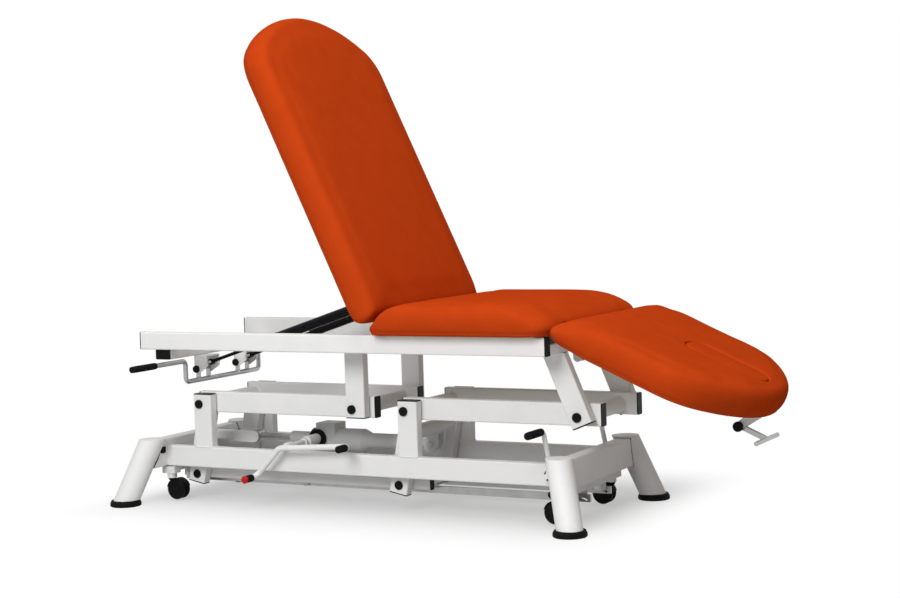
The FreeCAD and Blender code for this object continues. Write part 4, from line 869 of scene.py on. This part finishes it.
class EXAM_OT_grips(bpy.types.Operator):
    """Ribs the rubber grips and puts the red tip on the rocker pedal"""
    bl_idname = "exam.grips"
    bl_label = "Finish the Grips"

    release_ribs = (0.012, 0.098)
    rocker_ribs = (0.010, 0.032)
    pedal_ribs = (0.010, 0.070)
    tip_start = 0.006
    tip_over = 0.0006

    def execute(self, context):
        parts = context.scene.exam_parts
        rubber = finish_of("release_grips")
        step_r = parts.grip_d / 2
        low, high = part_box("rocker_grips")
        tip_x = low[0] + step_r
        tip_z = low[2] + step_r
        rocker = [self.rib_line(x, z, low[1], 1.0, self.rocker_ribs)
                  for x, z in ((tip_x, tip_z), (high[0] - step_r, high[2] - step_r))]
        bar_low, bar_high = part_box("release_grips")
        bar_x = (bar_low[0] + bar_high[0]) / 2
        bar_z = (bar_low[2] + bar_high[2]) / 2
        bar_r = (bar_high[2] - bar_low[2]) / 2
        release = [self.rib_line(bar_x, bar_z, side * bar_high[1], -side, self.release_ribs)
                   for side in BOTH_SIDES]
        pedal_low, pedal_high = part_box("foot_pedal_grips")
        pedal_x = pedal_low[0] + step_r
        pedal_z = pedal_high[2] - step_r
        pedal = [self.rib_line(pedal_x, pedal_z, side * pedal_high[1], -side, self.pedal_ribs)
                 for side in BOTH_SIDES]
        runs = (("release", bar_r, release), ("rocker", step_r, rocker), ("foot_pedal", step_r, pedal))
        for body, radius, lines in runs:
            path = paths(body + "_line", lines, closed=False)
            ribs = run_along(path, grip_ring("rib", radius), parts.rib_pitch, rubber)
            fixed(body + "_grip_ribs", ribs, rubber, body)
        red = plastic_finish("exam_red_tip", context.scene.exam_finish.red, 0.35, 600.0)
        cap = bmesh.new()
        r = step_r + self.tip_over
        add_turned(cap, Vector((tip_x, low[1] + self.tip_start, tip_z)), (0.0, -1.0, 0.0),
                   ((0.0, r - 0.0002), (0.001, r), (0.0055, r), (0.0068, 0.86 * r), (0.0074, 0.5 * r)))
        finished("rocker_red_tip", cap, red, "rocker")
        return {"FINISHED"}

    def rib_line(self, x, z, end_y, way, run):
        """The line of a grip's ribs, between two distances from its end."""
        return [Vector((x, end_y + way * along, z)) for along in run]


class EXAM_OT_knobs(bpy.types.Operator):
    """Caps the pivots of the two release levers with black knobs"""
    bl_idname = "exam.knobs"
    bl_label = "Add the Lever Knobs"

    lever_half_w = 0.0118
    lever_profile = ((0.0, 0.92), (0.0012, 1.0), (0.0075, 1.0), (0.0100, 0.93), (0.0112, 0.78),
                     (0.0112, 0.46), (0.0100, 0.40))
    bar_share = 0.78
    bar_clear = 0.0003
    bar_profile = ((0.0, 0.94), (0.0010, 1.0), (0.0055, 1.0), (0.0075, 0.92), (0.0085, 0.76),
                   (0.0088, 0.30))

    def execute(self, context):
        parts = context.scene.exam_parts
        black = finish_of("top_caps")
        knob_r = parts.knob_d / 2
        place = pivot("leg_section_release")
        shape = bmesh.new()
        add_caps(shape, place, self.lever_half_w, self.lever_profile, knob_r)
        finished("release_lever_knobs", shape, black, "leg_release")
        place = pivot("backrest_release")
        shape = bmesh.new()
        half_w = parts.bracket_half_w + self.bar_clear
        for y in (-parts.spring_y, parts.spring_y):
            add_caps(shape, Vector((place.x, y, place.z)), half_w, self.bar_profile,
                     self.bar_share * knob_r)
        finished("release_bar_knobs", shape, black, "release")
        return {"FINISHED"}


class EXAM_OT_casters(bpy.types.Operator):
    """Gives every caster its fender and hub caps"""
    bl_idname = "exam.casters"
    bl_label = "Finish the Casters"

    fender_clear = 0.0006
    fender_wall = 0.0016
    fender_half_w = 0.0165
    fender_angles = {"head": (15.0, 170.0), "foot": (10.0, 165.0)}
    hub_y = 0.0168
    hub_profile = ((0.0, 1.0), (0.0012, 1.0), (0.0020, 0.90), (0.0016, 0.62), (0.0016, 0.40),
                   (0.0026, 0.32), (0.0030, 0.14))

    def execute(self, context):
        parts = context.scene.exam_parts
        black = finish_of("caster_wheel_head_near")
        inner = parts.wheel_r + self.fender_clear
        hub_r = 0.5 * parts.wheel_r
        for end, angles in self.fender_angles.items():
            for tail in (end + "_near", end + "_far"):
                axle = pivot("caster_roll_" + tail)
                fender = bmesh.new()
                add_arched_shell(fender, axle, inner, inner + self.fender_wall, self.fender_half_w,
                                 *angles)
                finished("caster_fender_" + tail, fender, black, "fork_" + tail)
                hubs = bmesh.new()
                add_caps(hubs, axle, self.hub_y, self.hub_profile, hub_r)
                finished("caster_hubs_" + tail, hubs, black, "wheel_" + tail)
        return {"FINISHED"}


class EXAM_OT_collars(bpy.types.Operator):
    """Puts end collars on the gas springs and the ring on the actuator"""
    bl_idname = "exam.collars"
    bl_label = "Add the Collars"

    springs = (
        ("back_spring", "back_springs_high", 0.014, 0.2355, (-0.1, 0.1)),
        ("leg_spring", "leg_spring_high", 0.011, 0.0834, (0.0,)),
    )
    rod_r = 0.0056
    ring_profile = ((-0.0010, 0.0215), (-0.0010, 0.0295), (0.0005, 0.0308), (0.0085, 0.0308),
                    (0.0100, 0.0292), (0.0100, 0.0270), (0.0006, 0.0270), (0.0006, 0.0215))

    def execute(self, context):
        black = finish_of("back_spring_cylinders")
        for name, body, radius, start, sides in self.springs:
            axis = Vector(joint(name + "_stroke")["axis"])
            foot = pivot(name + "_tilt")
            shape = bmesh.new()
            for y in sides:
                mouth = foot + Vector((0.0, y, 0.0)) + start * axis
                add_turned(shape, mouth, axis, self.collar(radius), solid=False)
            finished(name + "_collars", shape, black, body)
        ring = bmesh.new()
        add_turned(ring, motor_face(), (1.0, 0.0, 0.0), self.ring_profile, solid=False)
        finished("actuator_ring", ring, black, "actuator_body")
        return {"FINISHED"}

    def collar(self, radius):
        """Profile of the wiper ring and collar at the mouth of a cylinder."""
        outer = radius + 0.0008
        inner = 0.8 * radius
        return ((-0.0040, self.rod_r), (-0.0040, 0.0078), (-0.0012, 0.70 * radius),
                (0.0, 1.02 * radius), (0.0030, outer), (0.0130, outer),
                (0.0150, radius + 0.0001), (0.0150, inner), (0.0002, inner), (0.0002, self.rod_r))


class EXAM_OT_plugs(bpy.types.Operator):
    """Presses square blanking plugs into the inner faces of the base's cross tubes"""
    bl_idname = "exam.plugs"
    bl_label = "Press in the Plugs"

    below_top = 0.011
    beside_rail = 0.019
    profile = ((0.0, 1.0), (0.0016, 1.0), (0.0025, 0.90), (0.0025, 0.66), (0.0016, 0.58))

    def execute(self, context):
        parts = context.scene.exam_parts
        rail_low, rail_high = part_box("base_rail_near")
        z = rail_high[2] - self.below_top
        reach = abs(rail_low[1]) + self.beside_rail
        head_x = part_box("cross_member_head")[1][0]
        foot_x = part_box("cross_member_foot")[0][0]
        outline = tube_foot_line(Vector(), parts.plug_w, parts.plug_h)
        shape = bmesh.new()
        for x, way in ((head_x, 1.0), (foot_x, -1.0)):
            for y in (-reach, reach):
                add_skin(shape, [
                    [(x + way * along, y + share * p.x, z + share * p.y) for p in outline]
                    for along, share in self.profile])
        finished("cross_tube_plugs", shape, finish_of("base_plugs"), "base")
        return {"FINISHED"}


class EXAM_OT_welds(bpy.types.Operator):
    """Runs painted weld beads round the tube joints"""
    bl_idname = "exam.welds"
    bl_label = "Run the Welds"

    ripple_overlap = 1.7

    def execute(self, context):
        parts = context.scene.exam_parts
        paint = finish_of("base_posts")
        rail_low, rail_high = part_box("base_rail_near")
        rail_y = (rail_low[1] + rail_high[1]) / 2
        beam_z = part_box("top_rail_near")[0][2]
        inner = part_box("head_cross_tubes")[1][1]
        across = Vector((0.0, 1.0, 0.0))
        head = pivot("lift")
        foot = pivot("foot_lift")
        upper = pivot("frame_level")
        reach = upper.x - head.x
        lines = {"base": [], "top_frame": [], "head_crank_body": [], "foot_crank_body": []}
        for sy in BOTH_SIDES:
            post_ends = (("base", head.x, rail_high[2]), ("base", foot.x, rail_high[2]),
                         ("top_frame", upper.x, beam_z))
            for body, x, z in post_ends:
                centre = Vector((x + parts.post_shift, -sy * rail_y, z))
                lines[body].append(tube_foot_line(centre, parts.post_w, parts.post_t))
            for body, start in (("head_crank_body", head), ("foot_crank_body", foot)):
                for x in (start.x, start.x + reach):
                    end = Vector((x, sy * inner, start.z))
                    lines[body].append(circle_line(end, across, parts.cross_tube_d / 2))
        for body, loops in lines.items():
            path = paths(body + "_line", loops)
            ripple = rounded_bar("ripple", self.ripple_overlap * parts.weld_pitch, parts.weld_w,
                                 parts.weld_w)
            beads = run_along(path, ripple, parts.weld_pitch, paint)
            fixed(body + "_welds", beads, paint, body)
        return {"FINISHED"}


class EXAM_OT_screws(bpy.types.Operator):
    """Sets the screws of the section tubes and the actuator"""
    bl_idname = "exam.screws"
    bl_label = "Set the Screws"

    tubes = (
        ("back_frame", "backrest", "backrest_tilt", -0.66, -0.09, 6),
        ("leg_frame", "leg_section", "leg_tilt", 0.08, 0.30, 4),
    )
    motor_angles = (45.0, 135.0, 225.0, 315.0)
    motor_circle_r = 0.0245
    motor_share = 0.7

    def execute(self, context):
        parts = context.scene.exam_parts
        steel = finish_of("release_bar")
        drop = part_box("top_rail_near")[1][2] + parts.board_clear - parts.section_tube_h
        for name, body, hinge, start, end, count in self.tubes:
            place = pivot(hinge)
            rest = laid_flat(hinge).inverted()
            facing = rest.to_3x3() @ Vector((0.0, 0.0, -1.0))
            places = []
            for i in range(count):
                x = place.x + start + (end - start) * i / (count - 1)
                for side in BOTH_SIDES:
                    places.append((rest @ Vector((x, side * parts.section_tube_y, drop)), facing))
            heads = heads_on(name + "_screws", places, parts.screw_r, steel)
            fixed(name + "_screws", heads, steel, body)
        middle = motor_face()
        front = Vector((-1.0, 0.0, 0.0))
        places = []
        for angle in self.motor_angles:
            a = math.radians(angle)
            across = Vector((0.0, math.cos(a), math.sin(a)))
            places.append((middle + self.motor_circle_r * across, front))
        heads = heads_on("actuator_screws", places, self.motor_share * parts.screw_r, steel)
        fixed("actuator_screws", heads, steel, "actuator_body")
        return {"FINISHED"}


class EXAM_OT_stage(bpy.types.Operator):
    """Sets up the camera, the floor and the lamps"""
    bl_idname = "exam.stage"
    bl_label = "Set the Stage"

    sensor_w = 36.0
    view_end = 60.0
    floor_half = 9.0
    floor_grey = (0.55, 0.55, 0.55, 1.0)
    # painted shadow: middle, soft edges and depth of the patch where the floor's white glow is cut
    painted_shadow_middle = (0.21, -0.15, 0.0)
    painted_shadow_fades = (("X", 0.62, 0.88), ("Y", 0.20, 0.70))
    painted_shadow_share = 0.55
    lamp_target = Vector((0.0, 0.0, 0.4))

    def execute(self, context):
        stage = context.scene.exam_stage
        context.scene.view_settings.view_transform = "Standard"
        self.place_camera(context, stage)
        self.lay_floor()
        self.light_world(context, stage)
        self.hang_lamp("key", Vector((0.2, -4.4, 3.0)), 2.6, stage.key_power)
        self.hang_lamp("top", Vector((1.1, -0.8, 4.0)), 3.2, stage.top_power)
        return {"FINISHED"}

    def place_camera(self, context, stage):
        lens = given(bpy.data.cameras.new("view"), lens=stage.lens, sensor_fit="HORIZONTAL",
                     sensor_width=self.sensor_w, clip_end=self.view_end)
        camera = linked(bpy.data.objects.new("view", lens))
        ahead = Vector((-math.sin(stage.yaw) * math.cos(stage.pitch),
                        math.cos(stage.yaw) * math.cos(stage.pitch), -math.sin(stage.pitch)))
        right = Vector((math.cos(stage.yaw), math.sin(stage.yaw), 0.0))
        up = right.cross(ahead)
        rolled_right = math.cos(stage.roll) * right + math.sin(stage.roll) * up
        rolled_up = -math.sin(stage.roll) * right + math.cos(stage.roll) * up
        matrix = Matrix((rolled_right, rolled_up, -ahead)).transposed().to_4x4()
        matrix.translation = Vector(stage.eye)
        camera.matrix_world = matrix
        context.scene.camera = camera

    def lay_floor(self):
        """A white floor that takes the shadow under the table and fades out around it. Under the table the glow is
        cut in a soft box, a painted shadow, so the grey floor with its real cast shadow shows there.
        """
        half = self.floor_half
        mesh = bpy.data.meshes.new("floor")
        mesh.from_pydata([(-half, -half, 0.0), (half, -half, 0.0), (half, half, 0.0),
                          (-half, half, 0.0)], [], [(0, 1, 2, 3)])
        floor = linked(bpy.data.objects.new("floor", mesh))
        material = bpy.data.materials.new("exam_floor")
        material.use_nodes = True
        nodes = Nodes(material.node_tree)
        output = nodes.add("ShaderNodeOutputMaterial")
        matt = nodes.add("ShaderNodeBsdfDiffuse", {"Color": self.floor_grey})
        glow = nodes.add("ShaderNodeEmission", {"Strength": 1.0})
        place = nodes.add("ShaderNodeTexCoord")
        centred = nodes.add("ShaderNodeMapping", {"Location": self.painted_shadow_middle})
        away = nodes.add("ShaderNodeVectorMath", operation="ABSOLUTE")
        axes = nodes.add("ShaderNodeSeparateXYZ")
        painted_shadow_patch = nodes.add("ShaderNodeMath", operation="MULTIPLY")
        # painted shadow: inside the patch the glow share drops, so the floor is darker there even where the lamps
        # reach
        shaded = nodes.add(
            "ShaderNodeMath", {1: -self.painted_shadow_share, 2: 1.0}, operation="MULTIPLY_ADD")
        seen = seen_factor(nodes)
        share = nodes.add("ShaderNodeMath", operation="MULTIPLY")
        mixed = nodes.add("ShaderNodeMixShader")
        nodes.join(place, "Object", centred, "Vector")
        nodes.join(centred, "Vector", away, 0)
        nodes.join(away, "Vector", axes, "Vector")
        # painted shadow: the patch fades out smoothly along X and along Y
        for k, (axis, start, end) in enumerate(self.painted_shadow_fades):
            fade = nodes.add("ShaderNodeMapRange", {
                "From Min": start, "From Max": end, "To Min": 1.0, "To Max": 0.0},
                interpolation_type="SMOOTHSTEP")
            nodes.join(axes, axis, fade, "Value")
            nodes.join(fade, "Result", painted_shadow_patch, k)
        nodes.join(painted_shadow_patch, "Value", shaded, 0)
        nodes.join(shaded, "Value", share, 0)
        nodes.join(seen, "Value", share, 1)
        nodes.join(share, "Value", mixed, "Fac")
        nodes.join(matt, "BSDF", mixed, 1)
        nodes.join(glow, "Emission", mixed, 2)
        nodes.join(mixed, "Shader", output, "Surface")
        mesh.materials.append(material)

    def light_world(self, context, stage):
        """White to the camera, a soft light to everything else."""
        world = bpy.data.worlds.new("studio")
        context.scene.world = world
        world.use_nodes = True
        nodes = Nodes(world.node_tree)
        white = (1.0, 1.0, 1.0, 1.0)
        output = nodes.add("ShaderNodeOutputWorld")
        soft = nodes.add("ShaderNodeBackground", {"Strength": stage.world_level, "Color": white})
        bright = nodes.add("ShaderNodeBackground", {"Strength": 1.0, "Color": white})
        mixed = nodes.add("ShaderNodeMixShader")
        nodes.join(seen_factor(nodes), "Value", mixed, "Fac")
        nodes.join(soft, "Background", mixed, 1)
        nodes.join(bright, "Background", mixed, 2)
        nodes.join(mixed, "Shader", output, "Surface")

    def hang_lamp(self, name, place, size, power):
        lamp = given(bpy.data.lights.new(name, "AREA"), shape="DISK", size=size, energy=power)
        obj = linked(bpy.data.objects.new(name, lamp))
        obj.location = place
        obj.rotation_euler = (self.lamp_target - place).to_track_quat("-Z", "Y").to_euler()


def seen_factor(nodes):
    """1 for a ray of the camera, a reflection or a transparent ray, otherwise 0."""
    path = nodes.add("ShaderNodeLightPath")
    either = nodes.add("ShaderNodeMath", operation="MAXIMUM")
    any_of = nodes.add("ShaderNodeMath", operation="MAXIMUM")
    nodes.join(path, "Is Camera Ray", either, 0)
    nodes.join(path, "Is Glossy Ray", either, 1)
    nodes.join(either, "Value", any_of, 0)
    nodes.join(path, "Is Transmission Ray", any_of, 1)
    return any_of


GROUPS = {"exam_finish": ExamFinish, "exam_cushions": ExamCushions, "exam_parts": ExamParts,
          "exam_stage": ExamStage}
STEPS = (EXAM_OT_finishes, EXAM_OT_cushions, EXAM_OT_grips, EXAM_OT_knobs, EXAM_OT_casters,
         EXAM_OT_collars, EXAM_OT_plugs, EXAM_OT_welds, EXAM_OT_screws, EXAM_OT_stage)


class EXAM_PT_sidebar(bpy.types.Panel):
    """Settings and steps of the examination table"""
    bl_idname = "EXAM_PT_sidebar"
    bl_label = "Examination Table"
    bl_space_type = "VIEW_3D"
    bl_region_type = "UI"
    bl_category = "Exam Table"

    def draw(self, context):
        for name in GROUPS:
            group = getattr(context.scene, name)
            box = self.layout.box()
            for key in group.__annotations__:
                box.prop(group, key)
        for step in STEPS:
            self.layout.operator(step.bl_idname)


CLASSES = (*GROUPS.values(), *STEPS, EXAM_PT_sidebar)


def register():
    for cls in CLASSES:
        bpy.utils.register_class(cls)
    for name, group in GROUPS.items():
        setattr(bpy.types.Scene, name, PointerProperty(type=group))


def unregister():
    for name in GROUPS:
        delattr(bpy.types.Scene, name)
    for cls in reversed(CLASSES):
        bpy.utils.unregister_class(cls)


def main():
    register()
    bpy.ops.exam.finishes()
    bpy.ops.exam.cushions()
    bpy.ops.exam.grips()
    bpy.ops.exam.knobs()
    bpy.ops.exam.casters()
    bpy.ops.exam.collars()
    bpy.ops.exam.plugs()
    bpy.ops.exam.welds()
    bpy.ops.exam.screws()
    bpy.ops.exam.stage()


if __name__ == "__main__":
    main()
